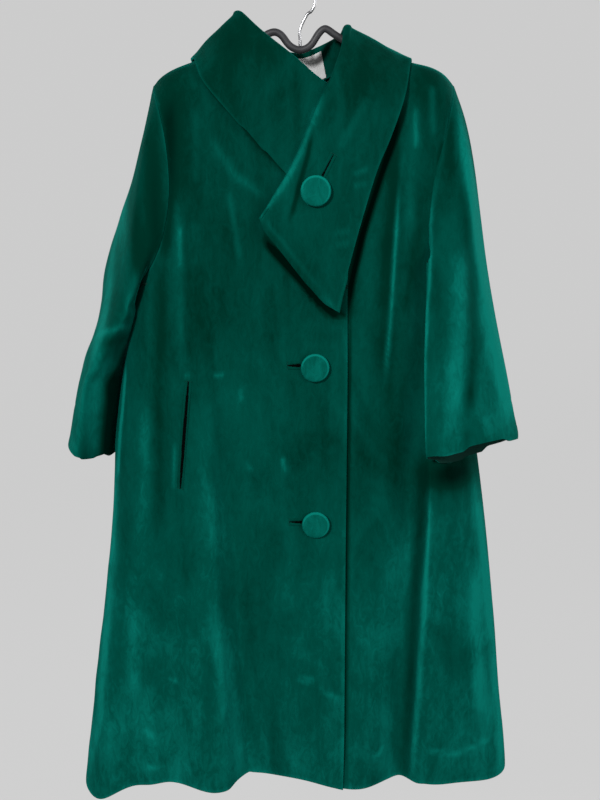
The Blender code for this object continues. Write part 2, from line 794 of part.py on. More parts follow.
def build_button(row):
    """A flat-domed button covered in the same velvet, standing off the cloth."""
    seat, normal = (flap_point if row.on_collar else front_point)(row.x, row.height)
    across = Vector((1, 0, 0))
    across = (across - normal * across.dot(normal)).normalized()
    upward = normal.cross(across)
    seat = seat + normal * (LIP_THICKNESS + 2 * SEWN_GAP + BUTTON_LIFT)
    made = bmesh.new()
    rings = []
    for ring in BUTTON_RINGS:
        line = []
        for k in range(BUTTON_AROUND):
            turn = 2 * math.pi * k / BUTTON_AROUND
            radius = BUTTON_DIAMETER / 2 * ring.radius
            point = seat + across * radius * math.cos(turn) + upward * radius * math.sin(turn)
            line.append(made.verts.new(place(*(point + normal * BUTTON_THICKNESS * ring.rise))))
        rings.append(line)
    for low, high in zip(rings, rings[1:]):
        for k in range(BUTTON_AROUND):
            n = (k + 1) % BUTTON_AROUND
            made.faces.new((low[k], low[n], high[n], high[k]))
    made.faces.new(rings[0])
    made.faces.new(rings[-1])
    bmesh.ops.recalc_face_normals(made, faces=made.faces)
    add_object("button_" + row.name, made, BUTTON_VELVET, VELVET_ROUGHNESS)


def build_sewn_pieces():
    for row in BUTTONS:
        build_button(row)
        point_at = flap_point if row.on_collar else front_point
        middle = Vector((row.hole_x, 0, row.hole_height))
        turn = math.radians(row.hole_turn)
        name = "buttonhole_" + row.name
        sewn_strip(name, point_at, middle, turn, HOLE_LENGTH, HOLE_WIDTH, LIP_THICKNESS, 6)
    for row in POCKETS:
        middle = Vector(((row.x_top + row.x_low) / 2, 0, (row.height_top + row.height_low) / 2))
        drop = row.height_top - row.height_low
        turn = math.atan2(drop, row.x_top - row.x_low)
        length = math.hypot(drop, row.x_top - row.x_low)
        name = "pocket_welt_" + row.name
        sewn_strip(name, front_point, middle, turn, length, WELT_WIDTH, WELT_THICKNESS, 10)


def build_label():
    """A bare cloth label on the inside of the collar's stand, behind the neck."""
    rows, normals = [], []
    for share in LABEL_UP:
        row, line = [], []
        for k in range(LABEL_COLUMNS):
            at = LABEL_FROM + LABEL_ALONG * k / (LABEL_COLUMNS - 1)
            section = collar_section(at)
            after = collar_section(at + 0.01)
            low, top = section[0], section[STAND_STEPS]
            up = (top - low).normalized()
            normal = (after[0] - low).cross(up).normalized()
            if normal.y > 0:
                normal = -normal
            point = low.lerp(top, share)
            row.append(point + normal * (COLLAR_CLOTH / 2 + 2 * SMALL_GAP + LABEL_THICKNESS))
            line.append(normal)
        rows.append(row)
        normals.append(line)
    made = cloth_wall(rows, normals, LABEL_THICKNESS, False)
    add_object("neck_label", made, LABEL_COLOUR, LABEL_ROUGHNESS)


# Hanger and hook


def swept_tube(path, radius, around, side_way):
    """A round bar along a path of points in a flat plane, closed at both ends."""
    made = bmesh.new()
    rings = []
    for i, point in enumerate(path):
        ahead = (path[min(i + 1, len(path) - 1)] - path[max(i - 1, 0)]).normalized()
        across = ahead.cross(side_way).normalized()
        ring = []
        for k in range(around):
            turn = 2 * math.pi * k / around
            away = across * math.cos(turn) + side_way * math.sin(turn)
            ring.append(made.verts.new(place(*(point + away * radius))))
        rings.append(ring)
    for low, high in zip(rings, rings[1:]):
        for k in range(around):
            n = (k + 1) % around
            made.faces.new((low[k], low[n], high[n], high[k]))
    made.faces.new(rings[0])
    made.faces.new(rings[-1])
    bmesh.ops.recalc_face_normals(made, faces=made.faces)
    return made


def build_hanger():
    path = []
    for k in range(BAR_STEPS + 1):
        s = 2 * k / BAR_STEPS - 1
        x = HANGER_BAR_ROWS[-1].x * (BAR_SPREAD * s + (1 - BAR_SPREAD) * s**3)
        path.append(Vector((x, 0, smooth_value(HANGER_BAR_ROWS, "height", x))))
    bar = swept_tube(path, HANGER_BAR / 2, TUBE_AROUND, Vector((0, 1, 0)))
    add_object("hanger", bar, HANGER_COLOUR, HANGER_ROUGHNESS)


def build_hook():
    """The wire hook, from the dip in the hanger's bar up and round over the rod."""
    radius = HOOK_INNER_RADIUS + HOOK_WIRE / 2
    centre = Vector((0, 0, ROD_SEAT - HOOK_INNER_RADIUS))
    foot = smooth_value(HANGER_BAR_ROWS, "height", 0) + HANGER_BAR / 2 + SMALL_GAP
    path = [Vector((0, 0, foot + HOOK_STEM * k / 2)) for k in range(3)]
    for k in range(HOOK_STEPS + 1):
        turn = math.radians(HOOK_START + HOOK_SWEEP * k / HOOK_STEPS)
        path.append(centre + Vector((math.cos(turn), 0, math.sin(turn))) * radius)
    wire = swept_tube(path, HOOK_WIRE / 2, TUBE_AROUND, Vector((0, 1, 0)))
    add_object("hook", wire, HOOK_COLOUR, HOOK_ROUGHNESS, 1.0)


def clear_scene():
    for old in list(bpy.data.objects):
        bpy.data.objects.remove(old, do_unlink=True)


def main():
    clear_scene()
    build_right_front()
    build_left_front()
    build_back()
    build_sleeve("sleeve_right", -1.0, RIGHT_SLEEVE, RIGHT_CAP)
    build_sleeve("sleeve_left", 1.0, LEFT_SLEEVE, LEFT_CAP)
    build_collar()
    build_sewn_pieces()
    build_label()
    build_hanger()
    build_hook()


main()
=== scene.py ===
"""A green velvet swing coat on its hanger, dressed over its solids. Sizes in tables are in millimetres."""

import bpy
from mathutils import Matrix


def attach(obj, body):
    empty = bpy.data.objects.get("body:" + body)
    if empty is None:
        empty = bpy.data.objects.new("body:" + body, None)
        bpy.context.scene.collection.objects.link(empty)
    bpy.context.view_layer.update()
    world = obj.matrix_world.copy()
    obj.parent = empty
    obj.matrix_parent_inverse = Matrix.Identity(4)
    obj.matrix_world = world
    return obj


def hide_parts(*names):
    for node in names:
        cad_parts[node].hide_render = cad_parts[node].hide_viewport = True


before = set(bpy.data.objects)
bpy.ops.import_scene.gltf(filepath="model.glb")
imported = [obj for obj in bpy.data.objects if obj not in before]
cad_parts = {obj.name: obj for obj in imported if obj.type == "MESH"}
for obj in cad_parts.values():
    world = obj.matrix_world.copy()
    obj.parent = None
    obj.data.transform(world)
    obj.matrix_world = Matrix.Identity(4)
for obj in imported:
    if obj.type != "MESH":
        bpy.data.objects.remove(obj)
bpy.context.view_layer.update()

import math
from collections import namedtuple

import bmesh
import bpy
import numpy as np
from bpy.props import FloatProperty, FloatVectorProperty, IntProperty, PointerProperty
from mathutils import Matrix, Vector
from mathutils.bvhtree import BVHTree
from mathutils.kdtree import KDTree

bl_info = {
    "name": "Velvet Swing Coat",
    "version": (1, 0, 0),
    "blender": (4, 5, 0),
    "location": "3D View > Sidebar > Swing Coat",
    "description": "Builds a velvet swing coat on a hanger, with buttons and pockets, and a plain stage",
    "category": "Object",
}

MM = 0.001
HEM_BELOW_ROD = 1094.0
ROOT = "root"

# Cloth walls: the CAD node, the piece that stands for it, its wall, its cut laid flat, the side that its
# marks are on, how far its nap is turned, and the height that its turned-up hem stays under
ClothRow = namedtuple("ClothRow", "node piece wall flat area facing nap_turn hem_below")
BODY_CLOTH = (
    ClothRow("back", "back_panel", 2.5, (0.77, 1.06), 0.554, 1.0, 0.0, 20),
    ClothRow("front_left", "front_panel_left", 2.5, (0.4, 1.05), 0.292, -1.0, 0.03, 20),
    ClothRow("front_right", "front_panel_right", 2.5, (0.47, 1.06), 0.343, -1.0, -0.03, 20),
)
SLEEVE_CLOTH = (
    ClothRow("sleeve_left", "sleeve_cloth_left", 2.5, (0.31, 0.47), 0.0945, -1.0, 0.1, 560),
    ClothRow("sleeve_right", "sleeve_cloth_right", 2.5, (0.31, 0.48), 0.103, -1.0, -0.16, 560),
)
COLLAR_CLOTH = ClothRow("collar", "collar_cloth", 3.0, (0.15, 0.88), 0.107, -1.0, 0.5, 0)

# Creases and brushed marks: a line of (x, height) points, how wide it fades, how far it stands out, and
# how much lighter the pile is painted there. Dark tones are painted shade in creases, painted shadows beside
# edges and darker brushed nap; light tones are lighter brushed nap and painted highlights on ridges and edges
Mark = namedtuple("Mark", "path width depth tone")
MARKS = {
    "front_right": (
        Mark(((-163, 962), (-167, 861), (-176, 758)), 9, -2.5, -0.6),
        Mark(((-153, 805), (-154, 748)), 4, 1.2, 0.4),
        # Painted shadow under the collar's lower edge
        Mark(((-120, 982), (-104, 963), (-79, 937), (-48, 903), (-8, 863)), 3.2, 0.0, -0.9),
        Mark(((-112, 910), (-84, 867), (-47, 841)), 6, 2.0, 0.4),
        Mark(((-91, 849), (-77, 758)), 4, 1.0, 0.35),
        Mark(((-129, 950), (-131, 855)), 6, 0.8, 0.25),
        Mark(((-202, 740), (-203, 568), (-217, 378), (-224, 250)), 12, 1.4, 0.2),
        Mark(((-180, 780), (-184, 680), (-190, 562), (-193, 378)), 10, -0.6, -0.3),
        Mark(((-157, 850), (-155, 709), (-156, 616)), 7, 1.2, 0.35),
        Mark(((-135, 810), (-134, 750)), 10, 0.0, 0.25),
        Mark(((-134, 560), (-127, 461), (-118, 342)), 12, 1.2, 0.17),
        # Painted shadow under the collar flap's lower edge
        Mark(((-44, 788), (-40, 779), (0, 736), (29, 704), (44, 690), (56, 689)), 4.5, 0.0, -2.6),
        Mark(((-115, 611), (-101, 605)), 4, 0.6, 0.5),
        Mark(((-24, 497), (-19, 470)), 4, 0.5, 0.7),
        Mark(((-76, 483), (-64, 476)), 4, 0.5, 0.4),
        Mark(((-79, 594), (-79, 571)), 4, 0.5, 0.3),
        Mark(((-232, 296), (-241, 136)), 9, 1.5, 0.4),
        Mark(((-122, 270), (-108, 190), (-97, 110), (-92, 0)), 12, 0.0, 0.45),
        Mark(((-154, 607), (-145, 607)), 3, 0.4, 0.7),
        Mark(((-168, 520), (-173, 456), (-160, 449)), 3, 0.4, 0.45),
        Mark(((-4, 162), (22, 164)), 4, 0.6, 0.6),
        Mark(((25, 151), (57, 139)), 4, 0.6, 0.3),
        Mark(((-188, 162), (-174, 166)), 4, 0.4, 0.4),
        Mark(((-216, 101), (-209, 104)), 4, 0.3, 0.4),
        Mark(((-227, 86), (-212, 72)), 5, 0.5, 0.4),
        Mark(((-224, 24), (-204, 26)), 4, 0.4, 0.4),
        # Painted highlights along the body's side edge
        Mark(((-252, 520), (-266, 361), (-292, 109), (-315, -3)), 7, 0.0, 0.6),
        Mark(((-237, 615), (-245, 535), (-253, 460)), 2.6, 0.0, 1.1),
    ),
    "front_left": (
        Mark(((143, 950), (147, 897)), 5, 1.6, 0.5),
        Mark(((163, 975), (167, 913)), 4, 1.4, 0.5),
        Mark(((131, 901), (124, 830), (122, 760), (118, 670), (113, 600)), 3.4, 2.2, 0.3),
        Mark(((126, 850), (122, 760), (118, 670), (113, 600)), 3.4, 0.0, 0.6),
        Mark(((112, 800), (108, 690)), 8, -0.8, -0.25),
        Mark(((182, 910), (176, 875)), 4, -1.0, -0.4),
        Mark(((114, 860), (120, 640), (130, 430)), 26, 0.0, -0.2),
        # Painted shadow beside the collar flap's right edge
        Mark(((129, 950), (118, 915), (101, 861), (80, 792), (66, 725), (62, 680)), 4.5, 0.0, -1.4),
        # Painted shadow beside the front edge, where the right front laps over
        Mark(((66, 700), (66, 340), (66, -12)), 2.4, 0.0, -0.9),
        Mark(((146, 790), (143, 741), (137, 690)), 5, 0.0, -0.2),
        Mark(((140, 900), (154, 811), (149, 708)), 8, 0.0, -0.25),
        Mark(((240, 460), (263, 334), (287, 176), (299, 60), (304, -20)), 9, 0.0, 0.8),
        Mark(((166, 500), (161, 285), (157, 125), (153, -10)), 8, -1.8, -0.6),
        Mark(((177, 460), (172, 262), (167, 68), (164, -10)), 4, 1.6, 0.65),
        Mark(((244, 335), (254, 192), (267, 96)), 9, 1.5, 0.5),
        Mark(((182, 59), (229, 50), (291, 62)), 3, 0.5, 0.35),
        Mark(((109, 40), (123, 54)), 4, 0.4, 0.4),
    ),
    "back": (
        Mark(((-118, 905), (-98, 820), (-84, 730)), 7, 1.8, 0.4),
        Mark(((-60, 880), (-38, 780)), 5, -1.4, -0.35),
        Mark(((30, 900), (22, 780), (30, 660)), 7, 1.6, 0.35),
        Mark(((92, 920), (104, 800), (108, 700)), 6, 1.8, 0.45),
        Mark(((150, 880), (140, 770)), 5, -1.4, -0.4),
        Mark(((-150, 700), (-168, 520), (-186, 380)), 9, 1.8, 0.4),
        Mark(((-70, 640), (-82, 470), (-88, 330)), 10, -1.6, -0.45),
        Mark(((66, 600), (80, 420), (84, 260)), 9, 1.8, 0.45),
        Mark(((180, 560), (206, 380), (226, 200)), 9, 1.6, 0.4),
        Mark(((-10, 520), (-16, 380)), 8, -1.2, -0.3),
        Mark(((-196, 260), (-214, 90)), 10, 1.4, 0.45),
        Mark(((-40, 240), (-34, 60)), 11, 1.2, 0.45),
        Mark(((118, 250), (134, 70)), 10, -1.3, -0.4),
        Mark(((-58, 446), (-40, 441)), 4, 0.6, 0.5),
        Mark(((96, 330), (112, 322)), 4, 0.6, 0.5),
        Mark(((10, 150), (42, 158)), 4, 0.6, 0.5),
        Mark(((-120, 120), (-104, 112)), 4, 0.5, 0.4),
    ),
    "sleeve_left": (
        Mark(((213, 890), (240, 720), (268, 580)), 12, 0.0, 0.3),
        Mark(((176, 860), (170, 790), (163, 711), (161, 640), (163, 480)), 3, 0.3, 0.8),
        Mark(((214, 790), (206, 709), (202, 641), (200, 560)), 13, 1.6, 0.5),
        Mark(((206, 860), (220, 752), (228, 677), (226, 590)), 8, -1.4, -0.5),
        Mark(((176, 860), (176, 690)), 12, -0.6, -0.2),
        Mark(((218, 900), (240, 790), (254, 674), (276, 557)), 10, 1.0, 0.3),
        Mark(((194, 975), (208, 890), (230, 800), (250, 710), (272, 615), (288, 550)), 8, 0.0, 1.0),
        Mark(((217, 540), (222, 515)), 7, -0.6, -0.3),
        Mark(((246, 560), (250, 524)), 7, 0.6, 0.3),
    ),
    "sleeve_right": (
        Mark(((-246, 720), (-256, 644), (-270, 572), (-292, 470)), 9, 0.0, -0.35),
        Mark(((-210, 745), (-236, 655)), 7, 0.0, 0.45),
        Mark(((-262, 664), (-231, 675)), 5, 1.2, 0.5),
        Mark(((-268, 650), (-228, 656)), 7, -0.8, -0.3),
        Mark(((-262, 760), (-279, 668), (-303, 500)), 14, 0.0, 0.15),
        Mark(((-226, 890), (-246, 790), (-258, 700), (-270, 620)), 10, 0.0, 0.6),
        # Painted shade on the sleeve's underside, where it turns in behind the body
        Mark(((-225, 664), (-238, 625), (-250, 590)), 4, 0.0, -2.0),
        Mark(((-247, 600), (-253, 545), (-263, 460)), 8, 0.0, -5.0),
        Mark(((-252, 640), (-266, 590), (-276, 530), (-284, 470)), 9, 0.0, 0.5),
    ),
    "collar": (
        # Painted shade in the crease beside the flap's roll, and a painted highlight along the roll
        Mark(((16, 923), (8, 888), (-3, 848), (-11, 811)), 3, -1.0, -0.6),
        Mark(((30, 965), (12, 921), (-2, 887), (-30, 841), (-55, 812)), 5, 0.4, 0.6),
        Mark(((84, 960), (62, 922), (46, 896)), 6, 0.5, 0.3),
        Mark(((-20, 755), (20, 712), (40, 694), (52, 694)), 6, 0.0, 0.4),
        Mark(((67, 867), (85, 875)), 3.5, 0.7, 0.4),
        Mark(((67, 853), (83, 857)), 3.5, 0.7, 0.4),
        Mark(((44, 795), (64, 799)), 3.5, 0.6, 0.35),
        Mark(((44, 781), (63, 784)), 3.5, 0.6, 0.35),
    ),
}

# Broad patches of lighter and darker pile, among them painted shadows and painted shade: an oval's middle,
# its reach across and up, how light it is, and the way it faces, sideways and backwards, which is forwards
# where it isn't said
Patch = namedtuple("Patch", "x height wide tall tone aside back", defaults=(0, -1))
PATCHES = {
    "front_right": (
        Patch(-80, 640, 90, 120, -0.1),
        Patch(-165, 910, 24, 110, -0.35),
        Patch(-40, 160, 60, 150, -0.15),
        Patch(-250, 95, 45, 35, 0.28),
        Patch(-235, 30, 22, 18, 0.2),
        Patch(-230, 135, 22, 28, 0.22),
        Patch(-163, 140, 12, 30, 0.2),
        Patch(-160, 350, 10, 50, -0.18),
        Patch(-97, 70, 12, 50, 0.2),
        Patch(-245, 385, 10, 30, -0.25),
        Patch(35, 345, 18, 22, -0.2),
        Patch(10, 90, 30, 50, -0.12),
        Patch(-182, 680, 14, 80, -0.12),
        Patch(-250, 180, 28, 60, -0.1),
        Patch(-128, 110, 10, 60, -0.2),
        Patch(-45, 455, 60, 40, 0.12),
        Patch(-165, 790, 14, 50, 0.15),
        Patch(-158, 690, 10, 70, 0.12),
        Patch(-130, 895, 14, 60, -0.18),
        Patch(-185, 355, 20, 60, -0.15),
        Patch(-140, 520, 16, 60, -0.12),
        Patch(-224, 258, 22, 60, 0.2),
        Patch(-185, 45, 60, 42, 0.2),
        Patch(60, 470, 30, 60, -0.15),
        Patch(0, 630, 45, 40, 0.18),
        Patch(30, 138, 50, 40, -0.14),
    ),
    "front_left": (
        # Painted shadow under the sleeve's cuff
        Patch(210, 474, 38, 22, -1.5),
        Patch(250, 110, 60, 130, -0.02),
        Patch(150, 340, 20, 110, 0.32),
        Patch(189, 282, 18, 38, 0.4),
        Patch(142, 72, 7, 60, -0.3),
        Patch(122, 110, 10, 90, 0.15),
        Patch(262, 210, 14, 60, 0.35),
        Patch(277, 110, 10, 50, 0.2),
        Patch(105, 640, 12, 40, -0.15),
        Patch(122, 870, 8, 55, -0.3),
        Patch(84, 135, 22, 60, -0.22),
        Patch(80, 460, 14, 60, -0.2),
        Patch(80, 205, 30, 40, 0.15),
        Patch(88, 745, 14, 60, 0.15),
        Patch(172, 440, 9, 35, 0.3),
        Patch(108, 520, 22, 100, -0.15),
        Patch(160, 975, 26, 45, -0.4),
        Patch(116, 850, 8, 70, -0.2),
        Patch(141, 850, 9, 80, 0.32),
        Patch(250, 330, 50, 110, 0.3),
    ),
    "back": (
        Patch(-120, 640, 70, 160, -0.35, 0, 1),
        Patch(90, 480, 60, 190, 0.3, 0, 1),
        Patch(-60, 240, 90, 120, 0.3, 0, 1),
        Patch(180, 820, 60, 100, -0.3, 0, 1),
    ),
    "sleeve_left": (
        Patch(240, 640, 60, 160, 0.15),
        Patch(222, 588, 9, 24, -0.8),
        Patch(272, 565, 14, 45, 0.35),
        Patch(204, 540, 12, 22, 0.25),
        Patch(184, 935, 22, 60, -0.35),
        Patch(232, 800, 12, 70, 0.2),
    ),
    "sleeve_right": (
        # Painted shade on the sleeve's inner side below the shoulder
        Patch(-186, 845, 14, 120, -0.65),
        Patch(-229, 785, 8, 90, 0.45, -0.7, -0.7),
        Patch(-210, 780, 9, 50, -0.3),
        Patch(-286, 492, 12, 14, -0.5),
        Patch(-304, 510, 7, 14, 0.35),
        Patch(-202, 800, 18, 140, -0.25),
    ),
    "collar": (
        Patch(-40, 960, 60, 60, -0.1),
        Patch(95, 985, 45, 40, -0.3),
        Patch(-75, 1035, 40, 32, -0.3),
        Patch(-35, 1010, 30, 25, -0.2),
        Patch(14, 838, 22, 22, -0.15),
        Patch(90, 1035, 50, 22, -0.12),
        Patch(18, 925, 16, 45, 0.2),
        Patch(38, 708, 10, 14, 0.25),
    ),
}

# Where the dressed cloth leaves its solid's form a little: a line as above, how wide it fades, the way it
# faces, and how far it moves
Pull = namedtuple("Pull", "path width aside back move")
PULLS = {
    "front_right": (Pull(((60, 690), (60, -20)), 7, 0, -1, (1.5, -1.2, 0)),),
    "sleeve_right": (
        Pull(((-266, 620), (-270, 520), (-272, 440)), 20, 0.7, -0.7, (-9, 0, 0)),
        Pull(((-262, 600), (-262, 430)), 20, 0.7, 0.7, (5, 0, 0)),
        Pull(((-229, 700), (-229, 640)), 12, 0.9, -0.4, (4, 0, 0)),
        Pull(((-268, 490), (-245, 500)), 16, 0.5, 0, (0, 0, -7)),
        Pull(((-300, 490), (-280, 480)), 16, 0, -0.5, (0, 0, -3)),
    ),
    "sleeve_left": (
        Pull(((178, 890), (175, 790)), 12, -0.6, -0.8, (-2.5, -0.5, 0)),
        Pull(((178, 910), (174, 730)), 12, -0.6, -0.8, (-2.5, -0.5, 0)),
        Pull(((180, 492), (225, 496)), 22, 0, 1, (0, 0, -4)),
        Pull(((163, 510), (163, 470)), 26, -1, -0.5, (0, 0, 7.5)),
        Pull(((306, 530), (306, 500)), 14, 1, 0, (0, 0, 4)),
        Pull(((245, 508), (270, 516), (300, 520)), 26, 0, 1, (0, 0, 9)),
        Pull(((215, 512), (250, 518), (282, 520)), 24, 0, -1, (0, 0, 6)),
    ),
    "collar": (
        Pull(((-56, 820), (-31, 776), (-5, 747), (20, 718), (44, 690)), 34, 0, -1, (-7.5, 0, -6)),
        Pull(((44, 745), (50, 715), (56, 690)), 22, 0, -1, (5, 0, 0)),
        Pull(((-74, 930), (-6, 856)), 36, 0, -1, (1.5, 0, 2.5)),
        Pull(((-46, 898), (-6, 856)), 36, 0, -1, (1.5, 0, 2)),
    ),
}

# How much lighter the cloth is painted by height, on all the cloth: lighter towards the hem
FadeRow = namedtuple("FadeRow", "height tone")
TONE_BY_HEIGHT = (
    FadeRow(-40, 0.75),
    FadeRow(150, 0.65),
    FadeRow(330, 0.5),
    FadeRow(500, 0.35),
    FadeRow(640, 0.28),
    FadeRow(800, 0.22),
    FadeRow(1100, 0.2),
)

# How a mark fades towards its ends, as shares of its length and of its fade
MARK_END = 0.22
MARK_END_LEFT = 0.25

# Near its open edges the cloth has a groove where its hem is sewn up, a painted highlight along the rim, and
# less relief
TURN_UP = 55.0
TURN_UP_GROOVE = 0.5
TURN_UP_GROOVE_WIDTH = 3.0
EDGE_HIGHLIGHT_WIDTH = 2.0
EDGE_HIGHLIGHT = 0.35
EDGE_CALM = 12.0

# How sharply a mark or patch stops where the cloth turns away from its side
FACING_CHANGE = 2

# Slow waves that keep the cloth from lying dead flat: how many to the metre across and up, how far they
# rise, and where they start. Going back counts as going across, but for less
Wave = namedtuple("Wave", "across up rise phase")
WAVES = (
    Wave(9.0, 2.2, 0.55, 0.3),
    Wave(15.0, 3.6, 0.35, 1.9),
    Wave(24.0, 7.0, 0.2, 4.1),
    Wave(37.0, 11.0, 0.12, 2.6),
)
WAVE_DEPTH_SHARE = 0.7

# How shells are taken from the solids, smoothed and thickened. The first two distances are in metres
MERGE_DISTANCE = 1e-5
RIM_TOLERANCE = 2e-5
FITTING_ROUNDS = 2
TRIM_FINENESS = 2
HANGER_BEND = math.radians(40)
LABEL_WALL = 0.8
SHELL_SLACK = 0.1
RIM_ANGLE = math.radians(55)
RIM_ROUNDING = 0.36

# What is sewn on the fronts. A slit's line runs from its start to its end, by x and height. A leaf-shaped
# slit gapes in its middle, and the others towards their end
SlitRow = namedtuple("SlitRow", "node piece on start end width opening lip swell leaf steps")
SLITS = (
    SlitRow(
        "buttonhole_top", "buttonhole_lips_top", "collar",
        (42, 893), (22, 855), 9.5, 3.4, 0.9, 0.5, False, 67,
    ),
    SlitRow(
        "buttonhole_middle", "buttonhole_lips_middle", "front_right",
        (-18, 621), (26, 621), 12, 8.5, 0.9, 0.6, False, 67,
    ),
    SlitRow(
        "buttonhole_bottom", "buttonhole_lips_bottom", "front_right",
        (-16, 401), (28, 401), 12, 7.6, 0.9, 0.6, False, 67,
    ),
    SlitRow(
        "pocket_welt_right", "pocket_lips_right", "front_right",
        (-163, 452), (-148, 602), 10, 4.2, 1.1, 0.35, True, 150,
    ),
    SlitRow(
        "pocket_welt_left", "pocket_lips_left", "front_left",
        (204, 488), (190, 636), 11, 4.6, 1.1, 0.35, True, 150,
    ),
)
SLIT_STEPS_ACROSS = 25
# A slit's floor lies just over its panel, so its depth is only painted shade
SLIT_FLOOR = 0.15
SLIT_SUNK = -0.4
SLIT_RIM = 0.001
BLUNT_END = 0.15
LIP_TAPER = 9
LIP_ROUNDING = 0.8
LIP_SLOT, INSIDE_SLOT, THREAD_SLOT = 0, 1, 2

# Places on the dressed cloth are looked for from this far in front of the rod, in metres
CLEAR_IN_FRONT = 0.2

# The sewn bar at each end of a slit
BAR_STITCHES = 7
BAR_INSET = 1.2
BAR_BOW = 0.5
STITCH_HALF = 0.6
STITCH_RISE = 0.7
STITCH_RADIUS = 0.45

# A covered button: its outline by shares of its radius and thickness, its pleats behind, the swell of its
# dome, and a painted highlight on its rim, brighter where light falls from above and in front
BUTTONS = ("button_top", "button_middle", "button_bottom")
ProfilePoint = namedtuple("ProfilePoint", "radius rise")
BUTTON_PROFILE = (
    ProfilePoint(0.0, -0.5),
    ProfilePoint(0.42, -0.5),
    ProfilePoint(0.66, -0.47),
    ProfilePoint(0.84, -0.4),
    ProfilePoint(0.95, -0.24),
    ProfilePoint(1.0, -0.02),
    ProfilePoint(0.985, 0.16),
    ProfilePoint(0.93, 0.31),
    ProfilePoint(0.82, 0.415),
    ProfilePoint(0.62, 0.465),
    ProfilePoint(0.32, 0.49),
    ProfilePoint(0.0, 0.5),
)
BUTTON_STEPS = 48
PLEATS = 22
PLEAT_DEPTH = 0.035
PLEAT_WANDER = 1.3
PLEAT_WANDERS = 3
PLEATS_FROM = 0.3
PLEATS_FADE = 3
SWELL = 0.25
SWELLS = 2.3
SWELL_START = 0.8
RIM_AT = 0.93
RIM_WIDTH = 0.05
RIM_HIGHLIGHT = 1.5
RIM_LIT_FROM = (0.5, 0.0, 0.87)
RIM_LIT_ALL_ROUND = 0.6
RIM_LIT_ABOVE = 0.8
BUTTON_PILE = 0.5

# Noises in the object's own coordinates, stretched by a scale for each axis
Noise = namedtuple("Noise", "scale detail roughness distortion", defaults=(0.0,))
STREAKS = Noise((30.0, 30.0, 4.0), 4.0, 0.5, 0.5)
BROAD_PATCHES = Noise((12.0, 12.0, 6.0), 5.0, 0.55, 0.8)
CRUSHED = Noise((95.0, 95.0, 42.0), 6.0, 0.7, 1.4)
NAP = Noise((1500.0, 1500.0, 1500.0), 2.0, 0.6)
MOTTLES = Noise((60.0, 60.0, 60.0), 4.0, 0.6)
PEBBLES = Noise((900.0, 900.0, 900.0), 3.0, 0.6)
SCUFFS = Noise((30.0, 30.0, 160.0), 5.0, 0.65)
RUBBED = Noise((120.0, 120.0, 40.0), 5.0, 0.6)
FLOCK = Noise((700.0, 700.0, 700.0), 2.0, 0.5)
PAPER_GRAIN = Noise((300.0, 300.0, 300.0), 2.0, 0.5)

# The velvet's tone runs from 0, where it is shadow, to 1, where it is brushed
TONE_STOPS = (0.0, 0.38, 0.68, 1.0)
BASE_TONE = 0.42
NAP_TONE = 0.08
# How strongly the painted pile, with its painted shade and highlights, moves the velvet's tone
PILE_AND_PAINTED_LIGHT_TONE = 0.9
PILE_AND_PAINTED_LIGHT_LEAST = 0.2
PILE_AND_PAINTED_LIGHT_UNEVEN = 0.3

# Woven cloth: the bands to the metre of a wave at scale 1, and what its threads and mottles add
WAVE_BANDS = 3.2
THREAD_TONE = 0.25
MOTTLE_TONE = 0.6
REVERSE_THREADS = 1400
LABEL_THREADS = 1900
SEWING_THREADS = 2500

# The stage, in metres from the rod
LightRow = namedtuple("LightRow", "name place size power share")
LIGHTS = (
    LightRow("key_light", (-1.1, -2.4, 0.8), (0.4, 0.4), "key_power", 1.0),
    LightRow("fill_light", (1.5, -2.0, 0.2), (1.2, 1.6), "fill_power", 1.0),
    LightRow("rim_light_left", (-1.9, 1.1, 0.4), (0.8, 1.8), "rim_power", 1.0),
    LightRow("rim_light_right", (1.9, 0.9, 0.4), (0.8, 1.8), "rim_power", 1.7),
)
LIGHTS_AIM = (0.0, 0.0, -0.5)
CAMERA_AIM = (0.0, -0.03, -0.524)
SENSOR_WIDTH = 36.0
BACKDROP_RADIUS = 5.0
BACKDROP_WALL = 4.5
BACKDROP_STEPS = 64
COVE_RADIUS = 1.5
COVE_STEPS = 12


def height_of(z):
    """The height above the hem, in millimetres, of a z in metres."""
    return z / MM + HEM_BELOW_ROD


def smooth_step(share):
    """Eases a share from 0 to 1, and holds it there."""
    share = np.clip(share, 0.0, 1.0)
    return share * share * (3 - 2 * share)


def bell(away, width):
    """1 in the middle, fading to nothing on both sides."""
    return np.exp(-((away / width) ** 2))


def vectors_of(owner, name):
    values = np.empty(len(owner) * 3, np.float32)
    owner.foreach_get(name, values)
    return values.reshape(-1, 3).astype(float)


def coordinates(mesh):
    return vectors_of(mesh.vertices, "co")


def set_coordinates(mesh, points):
    mesh.vertices.foreach_set("co", points.astype(np.float32).ravel())
    mesh.update()


def write_pile_and_painted_light(mesh, pile):
    """Writes how light the pile is painted at each point, for the velvet to read: brushed nap together with
    painted shade and painted highlights.
    """
    lie = mesh.attributes.new("pile", "FLOAT", "POINT")
    lie.data.foreach_set("value", pile.astype(np.float32))


def linked(name, data):
    made = bpy.data.objects.new(name, data)
    bpy.context.scene.collection.objects.link(made)
    return made


def object_of(name, bm):
    """Turns a bmesh into an object of the scene."""
    mesh = bpy.data.meshes.new(name)
    bm.to_mesh(mesh)
    bm.free()
    return linked(name, mesh)


def bmesh_of(mesh):
    bm = bmesh.new()
    bm.from_mesh(mesh)
    return bm


def merged_copy(node):
    """A bmesh of a CAD node, with its corners merged. The node's own mesh is left alone."""
    bm = bmesh_of(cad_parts[node].data)
    bmesh.ops.remove_doubles(bm, verts=bm.verts, dist=MERGE_DISTANCE)
    return bm


